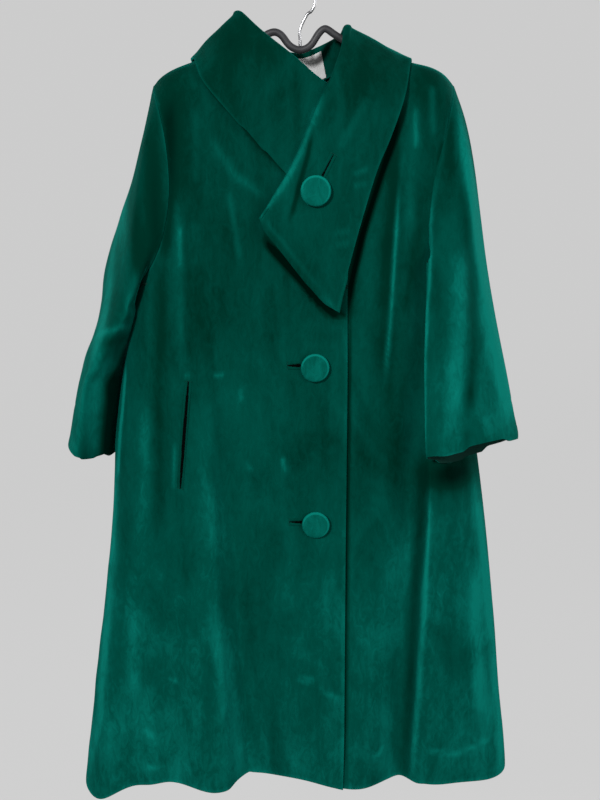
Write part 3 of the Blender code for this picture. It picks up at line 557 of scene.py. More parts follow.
def join_into_quads(bm, bend):
    bmesh.ops.join_triangles(bm, faces=bm.faces, angle_face_threshold=bend, angle_shape_threshold=math.pi)


def spun(points, steps):
    """A bmesh of a line of (radius, z) points spun all the way round."""
    bm = bmesh.new()
    line = [bm.verts.new((radius, 0.0, z)) for radius, z in points]
    edges = [bm.edges.new(pair) for pair in zip(line, line[1:])]
    bmesh.ops.spin(
        bm,
        geom=line + edges,
        cent=(0, 0, 0),
        axis=(0, 0, 1),
        dvec=(0, 0, 0),
        angle=2 * math.pi,
        steps=steps,
        use_merge=True,
        use_duplicate=False,
    )
    bmesh.ops.remove_doubles(bm, verts=bm.verts, dist=MERGE_DISTANCE)
    bmesh.ops.recalc_face_normals(bm, faces=bm.faces)
    return bm


def applied(made):
    """Replaces an object's mesh by what its modifiers make of it."""
    bpy.context.view_layer.update()
    graph = bpy.context.evaluated_depsgraph_get()
    mesh = bpy.data.meshes.new_from_object(made.evaluated_get(graph))
    old = made.data
    made.modifiers.clear()
    made.data = mesh
    bpy.data.meshes.remove(old)
    mesh.name = made.name
    return made


def set_materials(mesh, materials):
    """Fills a mesh's material slots and leaves alone which slot each face has."""
    for index, material in enumerate(materials):
        if index < len(mesh.materials):
            mesh.materials[index] = material
        else:
            mesh.materials.append(material)


def dress(made, node, materials):
    """Gives a finished piece its materials and smooth shading, hides the solid it stands for, and hangs it on
    what it rides on.
    """
    set_materials(made.data, materials)
    made.data.shade_smooth()
    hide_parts(node)
    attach(made, ROOT)
    return made


# The cloth's shells


def outer_face(node, wall):
    """A bmesh of the outer side of a CAD cloth wall, in quads: its rim and its inner side are taken off."""
    bm = merged_copy(node)
    through = [edge for edge in bm.edges if abs(edge.calc_length() - wall * MM) < RIM_TOLERANCE]
    rim = {face for edge in through for face in edge.link_faces}
    bmesh.ops.delete(bm, geom=list(rim), context="FACES")
    islands = islands_of(bm)
    outer = max(islands, key=spread)
    inner = [face for island in islands if island is not outer for face in island]
    bmesh.ops.delete(bm, geom=inner, context="FACES")
    join_into_quads(bm, math.pi)
    return bm


def islands_of(bm):
    """The faces of a bmesh, in groups that hang together."""
    left = set(bm.faces)
    islands = []
    while left:
        island = []
        front = [left.pop()]
        while front:
            face = front.pop()
            island.append(face)
            near = {other for edge in face.edges for other in edge.link_faces} & left
            left -= near
            front.extend(near)
        islands.append(island)
    return islands


def spread(island):
    """A group of faces' reach from corner to corner."""
    points = np.array([vertex.co for face in island for vertex in face.verts])
    return np.linalg.norm(points.max(0) - points.min(0))


def smoothed(bm, name, levels):
    """An object with a smooth surface through a cage's own corners."""
    made = object_of(name, bm)
    mesh = made.data
    wanted = coordinates(mesh)
    smooth = made.modifiers.new("Smooth", "SUBSURF")
    smooth.boundary_smooth = "PRESERVE_CORNERS"
    smooth.levels = smooth.render_levels = 1
    for _ in range(FITTING_ROUNDS):
        bpy.context.view_layer.update()
        seen = made.evaluated_get(bpy.context.evaluated_depsgraph_get())
        got = coordinates(seen.data)[: len(wanted)]
        set_coordinates(mesh, coordinates(mesh) + wanted - got)
    smooth.levels = smooth.render_levels = levels
    return applied(made)


def path_strength(x, height, path, width):
    """How strongly a mark shows: 1 along its middle, fading across it and towards both its ends."""
    corners = np.array(path, float)
    runs = np.diff(corners, axis=0)
    lengths = np.linalg.norm(runs, axis=1)
    distance = np.full(len(x), np.inf)
    share = np.zeros(len(x))
    before = 0.0
    for corner, run, length in zip(corners, runs, lengths):
        along = ((x - corner[0]) * run[0] + (height - corner[1]) * run[1]) / length**2
        along = np.clip(along, 0.0, 1.0)
        away = np.hypot(x - corner[0] - along * run[0], height - corner[1] - along * run[1])
        nearer = away < distance
        distance[nearer] = away[nearer]
        share[nearer] = (before + along[nearer] * length) / lengths.sum()
        before += length
    starting = smooth_step(share / MARK_END + MARK_END_LEFT)
    ending = smooth_step((1 - share) / MARK_END + MARK_END_LEFT)
    return bell(distance, width) * (starting * ending)


def facing_share(out, aside, back):
    """How far a surface faces a way: 1 towards it, 0 away from it."""
    return smooth_step(0.5 + FACING_CHANGE * (out[:, 0] * aside + out[:, 1] * back))


def oval_strength(patch, x, height, out):
    """How strongly an oval patch shows, by place and by the way the surface faces."""
    away = ((x - patch.x) / patch.wide) ** 2 + ((height - patch.height) / patch.tall) ** 2
    return np.exp(-away) * facing_share(out, patch.aside, patch.back)


def open_edges(mesh):
    """The corners on a mesh's open edges."""
    bm = bmesh_of(mesh)
    found = [vertex.co.copy() for vertex in bm.verts if vertex.is_boundary]
    bm.free()
    return found


def distance_from(points, places):
    """How far each point is from the nearest of some places, in millimetres: endless if there are none."""
    if not places:
        return np.full(len(points), np.inf)
    tree = KDTree(len(places))
    for index, place in enumerate(places):
        tree.insert(place, index)
    tree.balance()
    return np.array([tree.find(point)[2] for point in points]) / MM


def marks_of(row, x, height, out):
    """How far each point rises, and how light its pile is painted, by a cloth's marks, patches and height:
    brushed nap together with painted shade and painted highlights.
    """
    rise = np.zeros(len(x))
    pile = np.zeros(len(x))
    facing = facing_share(out, 0, row.facing)
    for mark in MARKS[row.node]:
        shown = path_strength(x, height, mark.path, mark.width) * facing
        rise += mark.depth * shown
        pile += mark.tone * shown
    for patch in PATCHES[row.node]:
        pile += patch.tone * oval_strength(patch, x, height, out)
    fade = np.array(TONE_BY_HEIGHT)
    pile += np.interp(height, fade[:, 0], fade[:, 1])
    return rise, pile


def relief(mesh, row, settings):
    """Moves a shell's points by its pulls, creases, turn-up and slow waves, and paints its pile, with painted
    shade and painted highlights.
    """
    points = coordinates(mesh)
    out = vectors_of(mesh.vertex_normals, "vector")
    x = points[:, 0] / MM
    height = height_of(points[:, 2])
    rise, pile = marks_of(row, x, height, out)
    for pull in PULLS.get(row.node, ()):
        share = path_strength(x, height, pull.path, pull.width) * facing_share(out, pull.aside, pull.back)
        points += share[:, None] * np.array(pull.move) * MM
    rise *= settings.crease_strength
    for wave in WAVES:
        depth = WAVE_DEPTH_SHARE * wave.across * points[:, 1]
        swing = wave.across * points[:, 0] + depth + wave.up * points[:, 2]
        rise += wave.rise * np.sin(2 * math.pi * swing + wave.phase)
    edges = open_edges(mesh)
    from_edge = distance_from(points, edges)
    from_hem = distance_from(points, [edge for edge in edges if height_of(edge.z) < row.hem_below])
    rise -= TURN_UP_GROOVE * bell(from_hem - TURN_UP, TURN_UP_GROOVE_WIDTH)
    rise *= smooth_step(from_edge / EDGE_CALM)
    # A painted highlight along the open edges
    pile += EDGE_HIGHLIGHT * bell(from_edge, EDGE_HIGHLIGHT_WIDTH)
    set_coordinates(mesh, points + out * (rise * MM)[:, None])
    write_pile_and_painted_light(mesh, pile * settings.pile_and_painted_light_strength)


def thickened(made, wall):
    """Gives a shell its thickness, with rounded edges and the second material inside."""
    solid = made.modifiers.new("Wall", "SOLIDIFY")
    solid.thickness = wall * MM
    solid.offset = -1.0
    solid.material_offset = 1
    rounded = made.modifiers.new("Edges", "BEVEL")
    rounded.limit_method = "ANGLE"
    rounded.angle_limit = RIM_ANGLE
    rounded.width = RIM_ROUNDING * wall * MM
    rounded.segments = 2
    return applied(made)


def cloth_piece(row, settings, materials):
    """A cloth piece from its solid: a smooth shell with its creases and its painted pile, shade and
    highlights, made as thick as its wall.
    """
    made = smoothed(outer_face(row.node, row.wall), row.piece, settings.fineness)
    relief(made.data, row, settings)
    set_materials(made.data, materials)
    thickened(made, row.wall - SHELL_SLACK)
    return dress(made, row.node, materials)


# Materials


def feed(tree, socket, value):
    """Sets a socket to a value, or links it to the socket that gives the value."""
    if isinstance(value, bpy.types.NodeSocket):
        tree.links.new(value, socket)
    else:
        socket.default_value = value


def set_inputs(tree, node, **inputs):
    """Feeds a node's inputs, named with _ for a space."""
    for key, value in inputs.items():
        feed(tree, node.inputs[key.replace("_", " ")], value)


def add_node(tree, kind, settings=None, **inputs):
    made = tree.nodes.new(kind)
    for key, value in (settings or {}).items():
        setattr(made, key, value)
    set_inputs(tree, made, **inputs)
    return made


def maths(tree, operation, *values):
    made = add_node(tree, "ShaderNodeMath", {"operation": operation})
    for socket, value in zip(made.inputs, values):
        feed(tree, socket, value)
    return made.outputs[0]


def varied(tree, noise, least, spread):
    """A value that a noise varies."""
    return maths(tree, "MULTIPLY_ADD", noise, spread, least)


def stirred(tree, tone, noise, strength):
    """A tone that a noise makes darker and lighter."""
    return varied(tree, noise, maths(tree, "SUBTRACT", tone, strength / 2), strength)


def new_material(name):
    """A material with a shader, and the object's coordinates to make its looks from."""
    material = bpy.data.materials.new(name)
    material.use_nodes = True
    tree = material.node_tree
    tree.nodes.clear()
    shader = add_node(tree, "ShaderNodeBsdfPrincipled")
    add_node(tree, "ShaderNodeOutputMaterial", Surface=shader.outputs[0])
    where = add_node(tree, "ShaderNodeTexCoord").outputs["Object"]
    return material, tree, shader, where


def noise_at(tree, where, noise, turn=0.0):
    """A noise turned about the depth."""
    turned = add_node(tree, "ShaderNodeMapping", Vector=where, Rotation=(0.0, turn, 0.0), Scale=noise.scale)
    made = add_node(
        tree,
        "ShaderNodeTexNoise",
        Vector=turned.outputs[0],
        Scale=1.0,
        Detail=noise.detail,
        Roughness=noise.roughness,
        Distortion=noise.distortion,
    )
    return made.outputs["Fac"]


def ramp(tree, factor, *stops):
    """A run of colours by a factor, from (position, colour) stops."""
    made = add_node(tree, "ShaderNodeValToRGB", Fac=factor)
    elements = made.color_ramp.elements
    while len(elements) < len(stops):
        elements.new(1.0)
    for element, (position, colour) in zip(elements, stops):
        element.position = position
        element.color = (*colour, 1.0)
    return made.outputs["Color"]


def shade(colour, share):
    """A colour made darker or lighter."""
    return tuple(min(1.0, share * part) for part in colour)


def velvet(name, settings, turn=0.0, lift=0.0):
    """Deep velvet: brushed streaks and patches of pile, crushed flecks, a fine nap, a coloured sheen, and the
    painted shade and highlights that its points carry.
    """
    material, tree, shader, where = new_material(name)
    streaks = noise_at(tree, where, STREAKS, turn)
    patches = noise_at(tree, where, BROAD_PATCHES, turn)
    crushed = noise_at(tree, where, CRUSHED, turn)
    nap = noise_at(tree, where, NAP, turn)
    tone = stirred(tree, BASE_TONE + lift, streaks, settings.streaks)
    tone = stirred(tree, tone, patches, settings.patches)
    tone = stirred(tree, tone, crushed, settings.crush)
    tone = stirred(tree, tone, nap, NAP_TONE)
    # The painted pile, with its painted shade and highlights
    pile = add_node(tree, "ShaderNodeAttribute", {"attribute_name": "pile"}).outputs["Fac"]
    uneven = varied(tree, patches, varied(tree, crushed, PILE_AND_PAINTED_LIGHT_LEAST, PILE_AND_PAINTED_LIGHT_UNEVEN), PILE_AND_PAINTED_LIGHT_UNEVEN)
    tone = varied(tree, maths(tree, "MULTIPLY", pile, uneven), tone, PILE_AND_PAINTED_LIGHT_TONE)
    colours = (settings.shadow_colour, settings.deep_colour, settings.light_colour, settings.brushed_colour)
    creased = add_node(tree, "ShaderNodeBump", Strength=0.5, Distance=0.0012, Height=crushed).outputs[0]
    fine = add_node(tree, "ShaderNodeBump", Strength=0.35, Distance=0.0004, Height=nap, Normal=creased)
    set_inputs(
        tree,
        shader,
        Base_Color=ramp(tree, tone, *zip(TONE_STOPS, colours)),
        Roughness=varied(tree, crushed, least=0.68, spread=0.2),
        IOR=1.12,
        Specular_IOR_Level=0.3,
        Specular_Tint=(0.0, 1.0, 0.8, 1.0),
        Sheen_Weight=settings.sheen,
        Sheen_Roughness=settings.sheen_roughness,
        Sheen_Tint=(*settings.sheen_tint, 1.0),
        Normal=fine.outputs[0],
    )
    return material


def woven(name, colour, threads, strength, roughness, specular=0.2):
    """A plain close weave of threads to the metre, with a slight unevenness of colour."""
    material, tree, shader, where = new_material(name)
    weave = []
    for direction in ("X", "Z"):
        band = add_node(
            tree,
            "ShaderNodeTexWave",
            {"bands_direction": direction},
            Vector=where,
            Scale=threads / WAVE_BANDS,
            Distortion=0.6,
            Detail=1.0,
        )
        weave.append(band.outputs["Fac"])
    cloth = maths(tree, "MAXIMUM", *weave)
    mottled = noise_at(tree, where, MOTTLES)
    tone = varied(tree, cloth, maths(tree, "MULTIPLY", mottled, MOTTLE_TONE), THREAD_TONE)
    set_inputs(
        tree,
        shader,
        Base_Color=ramp(tree, tone, (0.1, shade(colour, 0.62)), (0.75, shade(colour, 1.18))),
        Roughness=roughness,
        Specular_IOR_Level=specular,
        Normal=add_node(tree, "ShaderNodeBump", Strength=strength, Distance=0.0003, Height=cloth).outputs[0],
    )
    return material


def moulded(name, colour, roughness):
    """Moulded plastic with a fine pebbled skin and slight scuffs."""
    material, tree, shader, where = new_material(name)
    pebbles = noise_at(tree, where, PEBBLES)
    scuffs = noise_at(tree, where, SCUFFS, turn=0.3)
    set_inputs(
        tree,
        shader,
        Base_Color=ramp(tree, scuffs, (0.35, shade(colour, 0.8)), (0.75, shade(colour, 1.25))),
        Roughness=varied(tree, scuffs, least=roughness - 0.12, spread=0.25),
        Normal=add_node(tree, "ShaderNodeBump", Strength=0.25, Distance=0.0002, Height=pebbles).outputs[0],
    )
    return material


def plated(name, colour):
    """Bright plated wire with faint drawing lines and rubbed spots."""
    material, tree, shader, where = new_material(name)
    rubbed = noise_at(tree, where, RUBBED)
    set_inputs(
        tree,
        shader,
        Base_Color=ramp(tree, rubbed, (0.3, shade(colour, 0.75)), (0.6, colour)),
        Metallic=1.0,
        Roughness=varied(tree, rubbed, least=0.12, spread=0.22),
    )
    return material


def painted_slit_shade(name, colour):
    """Painted shade for the inside of a slit: a near-black colour standing for the shadow in its recess."""
    material, tree, shader, where = new_material(name)
    set_inputs(
        tree,
        shader,
        Base_Color=ramp(tree, noise_at(tree, where, FLOCK), (0.3, colour), (0.8, shade(colour, 1.6))),
        Roughness=0.95,
        Specular_IOR_Level=0.05,
    )
    return material


def backdrop_paper(name, glow):
    """Pale matt paper that glows a little, so that it stays even."""
    material, tree, shader, where = new_material(name)
    grain = noise_at(tree, where, PAPER_GRAIN)
    set_inputs(
        tree,
        shader,
        Base_Color=ramp(tree, grain, (0.3, (0.06, 0.06, 0.06)), (0.7, (0.07, 0.07, 0.07))),
        Roughness=0.95,
        Emission_Color=(1.0, 1.0, 1.0, 1.0),
        Emission_Strength=glow,
    )
    return material


# Sewn and moulded pieces


def surface_of(name):
    bm = bmesh_of(bpy.data.objects[name].data)
    tree = BVHTree.FromBMesh(bm)
    bm.free()
    return tree


def surface_under(x, height, surface):
    """The point and normal of a dressed cloth seen from its front at an x and height."""
    start = Vector((x * MM, -CLEAR_IN_FRONT, (height - HEM_BELOW_ROD) * MM))
    place, normal, _, _ = surface.ray_cast(start, Vector((0.0, 1.0, 0.0)))
    if place is None:
        raise RuntimeError(f"no cloth at x {x:.0f}, height {height:.0f}")
    return place, normal


SlitLine = namedtuple("SlitLine", "start way side length")


def line_of(row):
    """A slit's start, the ways along and across it, and its length."""
    start, end = np.array(row.start, float), np.array(row.end, float)
    length = np.linalg.norm(end - start)
    way = (end - start) / length
    return SlitLine(start, way, np.array((-way[1], way[0])), length)


def gap_share(row, along):
    """How much of half a slit's width is open, at a share of its length."""
    along = min(1.0, max(0.0, along))
    shape = along**row.swell * (1 - along) ** (row.swell if row.leaf else BLUNT_END)
    return row.opening / row.width * shape * (2 ** (2 * row.swell) if row.leaf else 1.0)


def lip_rise(row, along, over):
    """How far a slit's lips stand over its panel, at shares of its length and of half its width."""
    if min(along, 1 - along, 1 - abs(over)) < SLIT_RIM:
        return SLIT_SUNK
    gap = gap_share(row, along)
    lip = 1 - abs((abs(over) - gap) / (1 - gap) * 2 - 1) if abs(over) > gap else 0.0
    taper = smooth_step(min(along, 1 - along) * LIP_TAPER)
    return SLIT_FLOOR + row.lip * math.sin(math.pi * lip / 2) ** LIP_ROUNDING * taper


def inside_slit(face, row, line):
    """Whether a face of a slit's grid lies in its gap."""
    middle = face.calc_center_median()
    flat = np.array((middle.x / MM, height_of(middle.z))) - line.start
    along, over = flat @ line.way / line.length, flat @ line.side / (row.width / 2)
    return abs(over) < gap_share(row, along)


def add_stitch(bm, start, end):
    """A sewn stitch: a short thread, plump in its middle."""
    run = end - start
    turn = run.to_track_quat("Z", "Y").to_matrix().to_4x4()
    size = Matrix.Diagonal((STITCH_RADIUS * MM, STITCH_RADIUS * MM, run.length / 2, 1.0))
    place = Matrix.Translation((start + end) / 2) @ turn @ size
    made = bmesh.ops.create_uvsphere(bm, u_segments=8, v_segments=6, radius=1.0, matrix=place)
    for face in {face for vertex in made["verts"] for face in vertex.link_faces}:
        face.material_index = THREAD_SLOT


def add_end_bars(bm, row, line, surface):
    """Sews a short bar of stitches across each end of a slit."""
    half = BAR_STITCHES // 2
    for along in (0.0, 1.0):
        for step in range(-half, half + 1):
            inset = (0.5 - along) * (BAR_INSET + BAR_BOW * abs(step))
            spot = line.start + line.way * (along * line.length + inset)
            ends = []
            for reach in (-STITCH_HALF, STITCH_HALF):
                flat = spot + line.side * (step * row.width / BAR_STITCHES + reach)
                place, normal = surface_under(*flat, surface)
                ends.append(place + normal * STITCH_RISE * MM)
            add_stitch(bm, *ends)


def slit_piece(row, panel, materials):
    """Two rolled lips round a slit whose floor is painted dark as shade, laid on a panel, with a sewn bar
    across each end.
    """
    surface = surface_of(panel)
    line = line_of(row)
    bm = bmesh.new()
    bmesh.ops.create_grid(bm, x_segments=row.steps, y_segments=SLIT_STEPS_ACROSS, size=0.5)
    for vertex in bm.verts:
        along, over = vertex.co.x + 0.5, vertex.co.y * 2
        flat = line.start + line.way * along * line.length + line.side * over * row.width / 2
        place, normal = surface_under(*flat, surface)
        vertex.co = place + normal * lip_rise(row, along, over) * MM
    for face in bm.faces:
        # Faces in the gap take the painted shade
        face.material_index = INSIDE_SLOT if inside_slit(face, row, line) else LIP_SLOT
    add_end_bars(bm, row, line, surface)
    bmesh.ops.recalc_face_normals(bm, faces=bm.faces)
    return dress(object_of(row.piece, bm), row.node, materials)


def node_axis(node):
    """The middle and the short axis of a CAD node, pointing to the coat's front."""
    points = np.array([vertex.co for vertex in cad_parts[node].data.vertices], float)
    middle = (points.max(0) + points.min(0)) / 2
    axis = Vector(np.linalg.svd(points - points.mean(0))[2][2])
    return middle, axis if axis.y < 0 else -axis


def button_piece(node, settings, materials):
    """A covered button: velvet drawn over a domed mould and gathered behind."""
    middle, axis = node_axis(node)
    radius, thick = settings.button_diameter / 2, settings.button_thickness
    profile = [(point.radius * radius, point.rise * thick) for point in BUTTON_PROFILE]
    made = smoothed(spun(profile, BUTTON_STEPS), node + "_covered", TRIM_FINENESS)
    points = coordinates(made.data)
    around = np.arctan2(points[:, 1], points[:, 0])
    out = np.hypot(points[:, 0], points[:, 1]) / radius
    behind = smooth_step(-points[:, 2] / thick * PLEATS_FADE) * smooth_step((out - PLEATS_FROM) * PLEATS_FADE)
    pleats = 0.5 + 0.5 * np.sin(PLEATS * around + PLEAT_WANDER * np.sin(PLEAT_WANDERS * around))
    points[:, :2] *= (1 - PLEAT_DEPTH * behind * pleats)[:, None]
    swell = SWELL * MM * np.sin(SWELLS * around + SWELL_START) * out * (1 - out)
    points[:, 2] += np.where(points[:, 2] > 0, swell, 0.0)
    # A painted highlight round the front of the rim, brighter where light falls from above and in front
    rim = bell(out - RIM_AT, RIM_WIDTH) * (points[:, 2] > 0)
    points = points @ np.array(axis.to_track_quat("Z", "Y").to_matrix()).T
    upper = np.clip(points @ np.array(RIM_LIT_FROM) / radius, -1, 1)
    lit = smooth_step(RIM_LIT_ALL_ROUND + RIM_LIT_ABOVE * upper)
    set_coordinates(made.data, points + middle)
    write_pile_and_painted_light(made.data, BUTTON_PILE + RIM_HIGHLIGHT * rim * lit)
    return dress(made, node, materials)


# Settings

COLOUR = {"subtype": "COLOR", "size": 3, "min": 0.0, "max": 1.0}


class VelvetSettings(bpy.types.PropertyGroup):
    """The cloth's colours and how strongly its marks show."""

    # The darkest colour is reached by painted shadows and shade as well as by pile lying from the light
    shadow_colour: FloatVectorProperty(
        name="Shadow", description="Pile that lies from the light", default=(0.0, 0.008, 0.0045), **COLOUR
    )
    deep_colour: FloatVectorProperty(
        name="Deep", description="The cloth's main colour", default=(0.0, 0.034, 0.021), **COLOUR
    )
    light_colour: FloatVectorProperty(
        name="Light", description="Pile that stands to the light", default=(0.0005, 0.095, 0.07), **COLOUR
    )
    brushed_colour: FloatVectorProperty(
        name="Brushed", description="Pile brushed flat", default=(0.003, 0.24, 0.19), **COLOUR
    )
    sheen_tint: FloatVectorProperty(
        name="Sheen tint", description="Colour of the pile seen edge on", default=(0.0, 0.7, 0.56), **COLOUR
    )
    sheen: FloatProperty(
        name="Sheen", description="How strongly the pile catches the light", default=0.4, min=0, max=1
    )
    sheen_roughness: FloatProperty(
        name="Sheen roughness", description="How widely the sheen spreads", default=0.35, min=0, max=1
    )
    streaks: FloatProperty(
        name="Streaks", description="Strength of brushed streaks", default=0.32, min=0, max=2
    )
    patches: FloatProperty(
        name="Patches", description="Strength of broad patches", default=0.42, min=0, max=2
    )
    crush: FloatProperty(
        name="Crush", description="Strength of crushed flecks", default=0.22, min=0, max=2
    )
    crease_strength: FloatProperty(
        name="Creases", description="Depth of the creases", default=0.7, min=0, max=3
    )
    # How strongly the marks show, with their painted shade and highlights
    pile_and_painted_light_strength: FloatProperty(
        name="Marks", description="Strength of the pile's marks", default=1.0, min=0, max=3
    )
    fineness: IntProperty(
        name="Fineness", description="How often the cloth is divided", default=3, min=1, max=4
    )


class TrimSettings(bpy.types.PropertyGroup):
    """Sizes and colours of what is sewn on and of the hanger."""

    button_diameter: FloatProperty(
        name="Button diameter", description="Across a covered button", default=0.038, min=0.01, max=0.06,
        unit="LENGTH",
    )
    button_thickness: FloatProperty(
        name="Button thickness", description="From its back to its front", default=0.007, min=0.002, max=0.02,
        unit="LENGTH",
    )
    reverse_colour: FloatVectorProperty(
        name="Reverse", description="The cloth's inner side", default=(0.001, 0.04, 0.028), **COLOUR
    )
    # Painted shade that stands for a slit's shadowed recess
    slit_shade_colour: FloatVectorProperty(
        name="Slit", description="The dark inside of a slit", default=(0.0004, 0.0012, 0.0009), **COLOUR
    )
    label_colour: FloatVectorProperty(
        name="Label", description="The bare neck label", default=(0.93, 0.93, 0.9), **COLOUR
    )
    hanger_colour: FloatVectorProperty(
        name="Hanger", description="The hanger's bar", default=(0.05, 0.05, 0.055), **COLOUR
    )
    hook_colour: FloatVectorProperty(
        name="Hook", description="The plated hook", default=(0.62, 0.62, 0.64), **COLOUR
    )


class StageSettings(bpy.types.PropertyGroup):
    """The backdrop, lights and camera."""

    backdrop: FloatProperty(
        name="Backdrop", description="The backdrop's own glow", default=0.585, min=0, max=1
    )
    ambient: FloatProperty(
        name="Ambient", description="Light from all round", default=0.14, min=0, max=1
    )
    floor_drop: FloatProperty(
        name="Floor", description="How far the floor is below the rod", default=1.95, min=1.2, max=3.0,
        unit="LENGTH",
    )
    key_power: FloatProperty(
        name="Key", description="The main soft light, in watts", default=48.0, min=0, max=500
    )
    fill_power: FloatProperty(
        name="Fill", description="The soft light opposite, in watts", default=17.0, min=0, max=500
    )
    rim_power: FloatProperty(
        name="Rim", description="The light behind on the left, in watts", default=13.0, min=0, max=500
    )
    camera_pitch: FloatProperty(
        name="Pitch", description="How far the camera looks down", default=math.radians(15),
        subtype="ANGLE",
    )
    camera_distance: FloatProperty(
        name="Distance", description="From the camera to the coat", default=1.235, min=0.5, max=5,
        unit="LENGTH",
    )
    lens: FloatProperty(
        name="Lens", description="Focal length in millimetres", default=40.95, min=20, max=120
    )


# Operators


class COAT_OT_body(bpy.types.Operator):
    """Makes the coat's back and fronts"""

    bl_idname = "coat.body"
    bl_label = "Back and fronts"

    def execute(self, context):
        settings, trim = context.scene.coat_velvet, context.scene.coat_trim
        reverse = woven("velvet_reverse", trim.reverse_colour, REVERSE_THREADS, strength=0.4, roughness=0.8)
        for row in BODY_CLOTH:
            face = velvet("velvet_" + row.node, settings, row.nap_turn)
            made = cloth_piece(row, settings, (face, reverse))
        return {"FINISHED"}


class COAT_OT_sleeves(bpy.types.Operator):
    """Makes the loose sleeves"""

    bl_idname = "coat.sleeves"
    bl_label = "Sleeves"

    def execute(self, context):
        settings, trim = context.scene.coat_velvet, context.scene.coat_trim
        reverse = woven("sleeve_reverse", trim.reverse_colour, REVERSE_THREADS, strength=0.4, roughness=0.8)
        for row in SLEEVE_CLOTH:
            face = velvet("velvet_" + row.node, settings, row.nap_turn, lift=0.06)
            made = cloth_piece(row, settings, (face, reverse))
        return {"FINISHED"}


class COAT_OT_collar(bpy.types.Operator):
    """Makes the wide wrapped collar"""

    bl_idname = "coat.collar"
    bl_label = "Collar"

    def execute(self, context):
        row, settings = COLLAR_CLOTH, context.scene.coat_velvet
        face = velvet("velvet_collar", settings, row.nap_turn)
        made = cloth_piece(row, settings, (face, face))
        return {"FINISHED"}


class COAT_OT_buttons(bpy.types.Operator):
    """Makes the three covered buttons"""

    bl_idname = "coat.buttons"
    bl_label = "Buttons"

    def execute(self, context):
        face = velvet("velvet_buttons", context.scene.coat_velvet, turn=0.4, lift=0.1)
        for node in BUTTONS:
            button_piece(node, context.scene.coat_trim, (face,))
        return {"FINISHED"}


class COAT_OT_openings(bpy.types.Operator):
    """Makes the bound buttonholes and the pockets' lips"""

    bl_idname = "coat.openings"
    bl_label = "Buttonholes and pockets"

    def execute(self, context):
        settings = context.scene.coat_velvet
        panels = {row.node: row.piece for row in (*BODY_CLOTH, COLLAR_CLOTH)}
        lips = velvet("velvet_lips", settings, lift=0.12)
        # Painted shade for the slits' insides
        inside = painted_slit_shade("slit_inside", context.scene.coat_trim.slit_shade_colour)
        thread = woven("sewing_thread", settings.light_colour, SEWING_THREADS, strength=0.3, roughness=0.7)
        for row in SLITS:
            slit_piece(row, panels[row.on], (lips, inside, thread))
        return {"FINISHED"}


class COAT_OT_label(bpy.types.Operator):
    """Makes the bare woven label at the neck"""

    bl_idname = "coat.label"
    bl_label = "Label"

    def execute(self, context):
        colour = context.scene.coat_trim.label_colour
        satin = woven("label_satin", colour, LABEL_THREADS, strength=0.3, roughness=0.55, specular=0.4)
        made = smoothed(outer_face("neck_label", LABEL_WALL), "neck_label_cloth", TRIM_FINENESS)
        thickened(made, LABEL_WALL - SHELL_SLACK)
        dress(made, "neck_label", (satin, satin))
        return {"FINISHED"}


class COAT_OT_hanger(bpy.types.Operator):
    """Makes the hanger's bar and its hook"""

    bl_idname = "coat.hanger"
    bl_label = "Hanger and hook"

    def execute(self, context):
        trim = context.scene.coat_trim
        looks = (
            ("hanger", "hanger_bar", moulded("hanger_plastic", trim.hanger_colour, roughness=0.5)),
            ("hook", "hook_wire", plated("hook_plating", trim.hook_colour)),
        )
        for node, piece, material in looks:
            bm = merged_copy(node)
            join_into_quads(bm, HANGER_BEND)
            dress(smoothed(bm, piece, TRIM_FINENESS), node, (material,))
        return {"FINISHED"}


class COAT_OT_stage(bpy.types.Operator):
    """Makes the backdrop, the lights and the camera"""

    bl_idname = "coat.stage"
    bl_label = "Stage"

    def execute(self, context):
        stage = context.scene.coat_stage
        backdrop(stage)
        world = bpy.data.worlds.new("studio")
        world.use_nodes = True
        ambient = (stage.ambient, stage.ambient, stage.ambient, 1.0)
        world.node_tree.nodes["Background"].inputs["Color"].default_value = ambient
        context.scene.world = world
        for row in LIGHTS:
            area_light(row, row.share * getattr(stage, row.power))
        context.scene.camera = photo_camera(stage)
        context.scene.view_settings.view_transform = "Standard"
        return {"FINISHED"}


def backdrop(stage):
    """A wide round floor that curves up into a wall."""
    floor = -stage.floor_drop
    flat = BACKDROP_RADIUS - COVE_RADIUS
    line = [(0.0, floor), (flat, floor)]
    for step in range(1, COVE_STEPS + 1):
        turn = step / COVE_STEPS * math.pi / 2
        line.append((flat + COVE_RADIUS * math.sin(turn), floor + COVE_RADIUS * (1 - math.cos(turn))))
    line.append((BACKDROP_RADIUS, floor + BACKDROP_WALL))
    bm = spun(line, BACKDROP_STEPS)
    bmesh.ops.reverse_faces(bm, faces=bm.faces)
    made = object_of("backdrop", bm)
    made.data.shade_smooth()
    made.data.materials.append(backdrop_paper("backdrop_paper", stage.backdrop))
    made.visible_diffuse = made.visible_glossy = False


def area_light(row, watts):
    light = bpy.data.lights.new(row.name, "AREA")
    light.shape = "RECTANGLE"
    light.size, light.size_y = row.size
    light.energy = watts
    made = linked(row.name, light)
    made.location = row.place
    aim = Vector(LIGHTS_AIM) - Vector(row.place)
    made.rotation_euler = aim.to_track_quat("-Z", "Y").to_euler()
    made.visible_camera = False


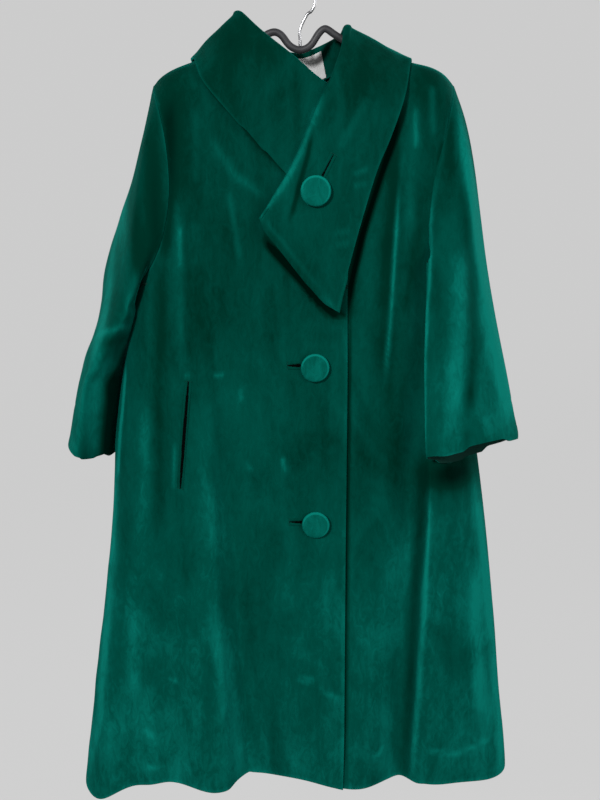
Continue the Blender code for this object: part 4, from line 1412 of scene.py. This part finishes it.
def photo_camera(stage):
    """The camera, at the photograph's viewing angle."""
    camera = bpy.data.cameras.new("photo_camera")
    camera.lens = stage.lens
    camera.sensor_width = SENSOR_WIDTH
    made = linked("photo_camera", camera)
    back = Vector((0.0, -math.cos(stage.camera_pitch), math.sin(stage.camera_pitch)))
    made.location = Vector(CAMERA_AIM) + back * stage.camera_distance
    made.rotation_euler = (-back).to_track_quat("-Z", "Y").to_euler()
    return made


class COAT_PT_panel(bpy.types.Panel):
    """Builds the coat piece by piece"""

    bl_idname = "COAT_PT_panel"
    bl_label = "Swing Coat"
    bl_space_type = "VIEW_3D"
    bl_region_type = "UI"
    bl_category = "Swing Coat"

    def draw(self, context):
        for operator in OPERATORS:
            self.layout.operator(operator.bl_idname)
        for group in (context.scene.coat_velvet, context.scene.coat_trim, context.scene.coat_stage):
            box = self.layout.box()
            for name in type(group).__annotations__:
                box.prop(group, name)


SETTINGS = (VelvetSettings, TrimSettings, StageSettings)
OPERATORS = (
    COAT_OT_body,
    COAT_OT_sleeves,
    COAT_OT_collar,
    COAT_OT_buttons,
    COAT_OT_openings,
    COAT_OT_label,
    COAT_OT_hanger,
    COAT_OT_stage,
)


def register():
    for made in (*SETTINGS, *OPERATORS, COAT_PT_panel):
        bpy.utils.register_class(made)
    bpy.types.Scene.coat_velvet = PointerProperty(type=VelvetSettings)
    bpy.types.Scene.coat_trim = PointerProperty(type=TrimSettings)
    bpy.types.Scene.coat_stage = PointerProperty(type=StageSettings)


def unregister():
    del bpy.types.Scene.coat_velvet
    del bpy.types.Scene.coat_trim
    del bpy.types.Scene.coat_stage
    for made in reversed((*SETTINGS, *OPERATORS, COAT_PT_panel)):
        bpy.utils.unregister_class(made)


def main():
    register()
    for step in (
        bpy.ops.coat.body,
        bpy.ops.coat.sleeves,
        bpy.ops.coat.collar,
        bpy.ops.coat.buttons,
        bpy.ops.coat.openings,
        bpy.ops.coat.label,
        bpy.ops.coat.hanger,
        bpy.ops.coat.stage,
    ):
        step()


if __name__ == "__main__":
    main()
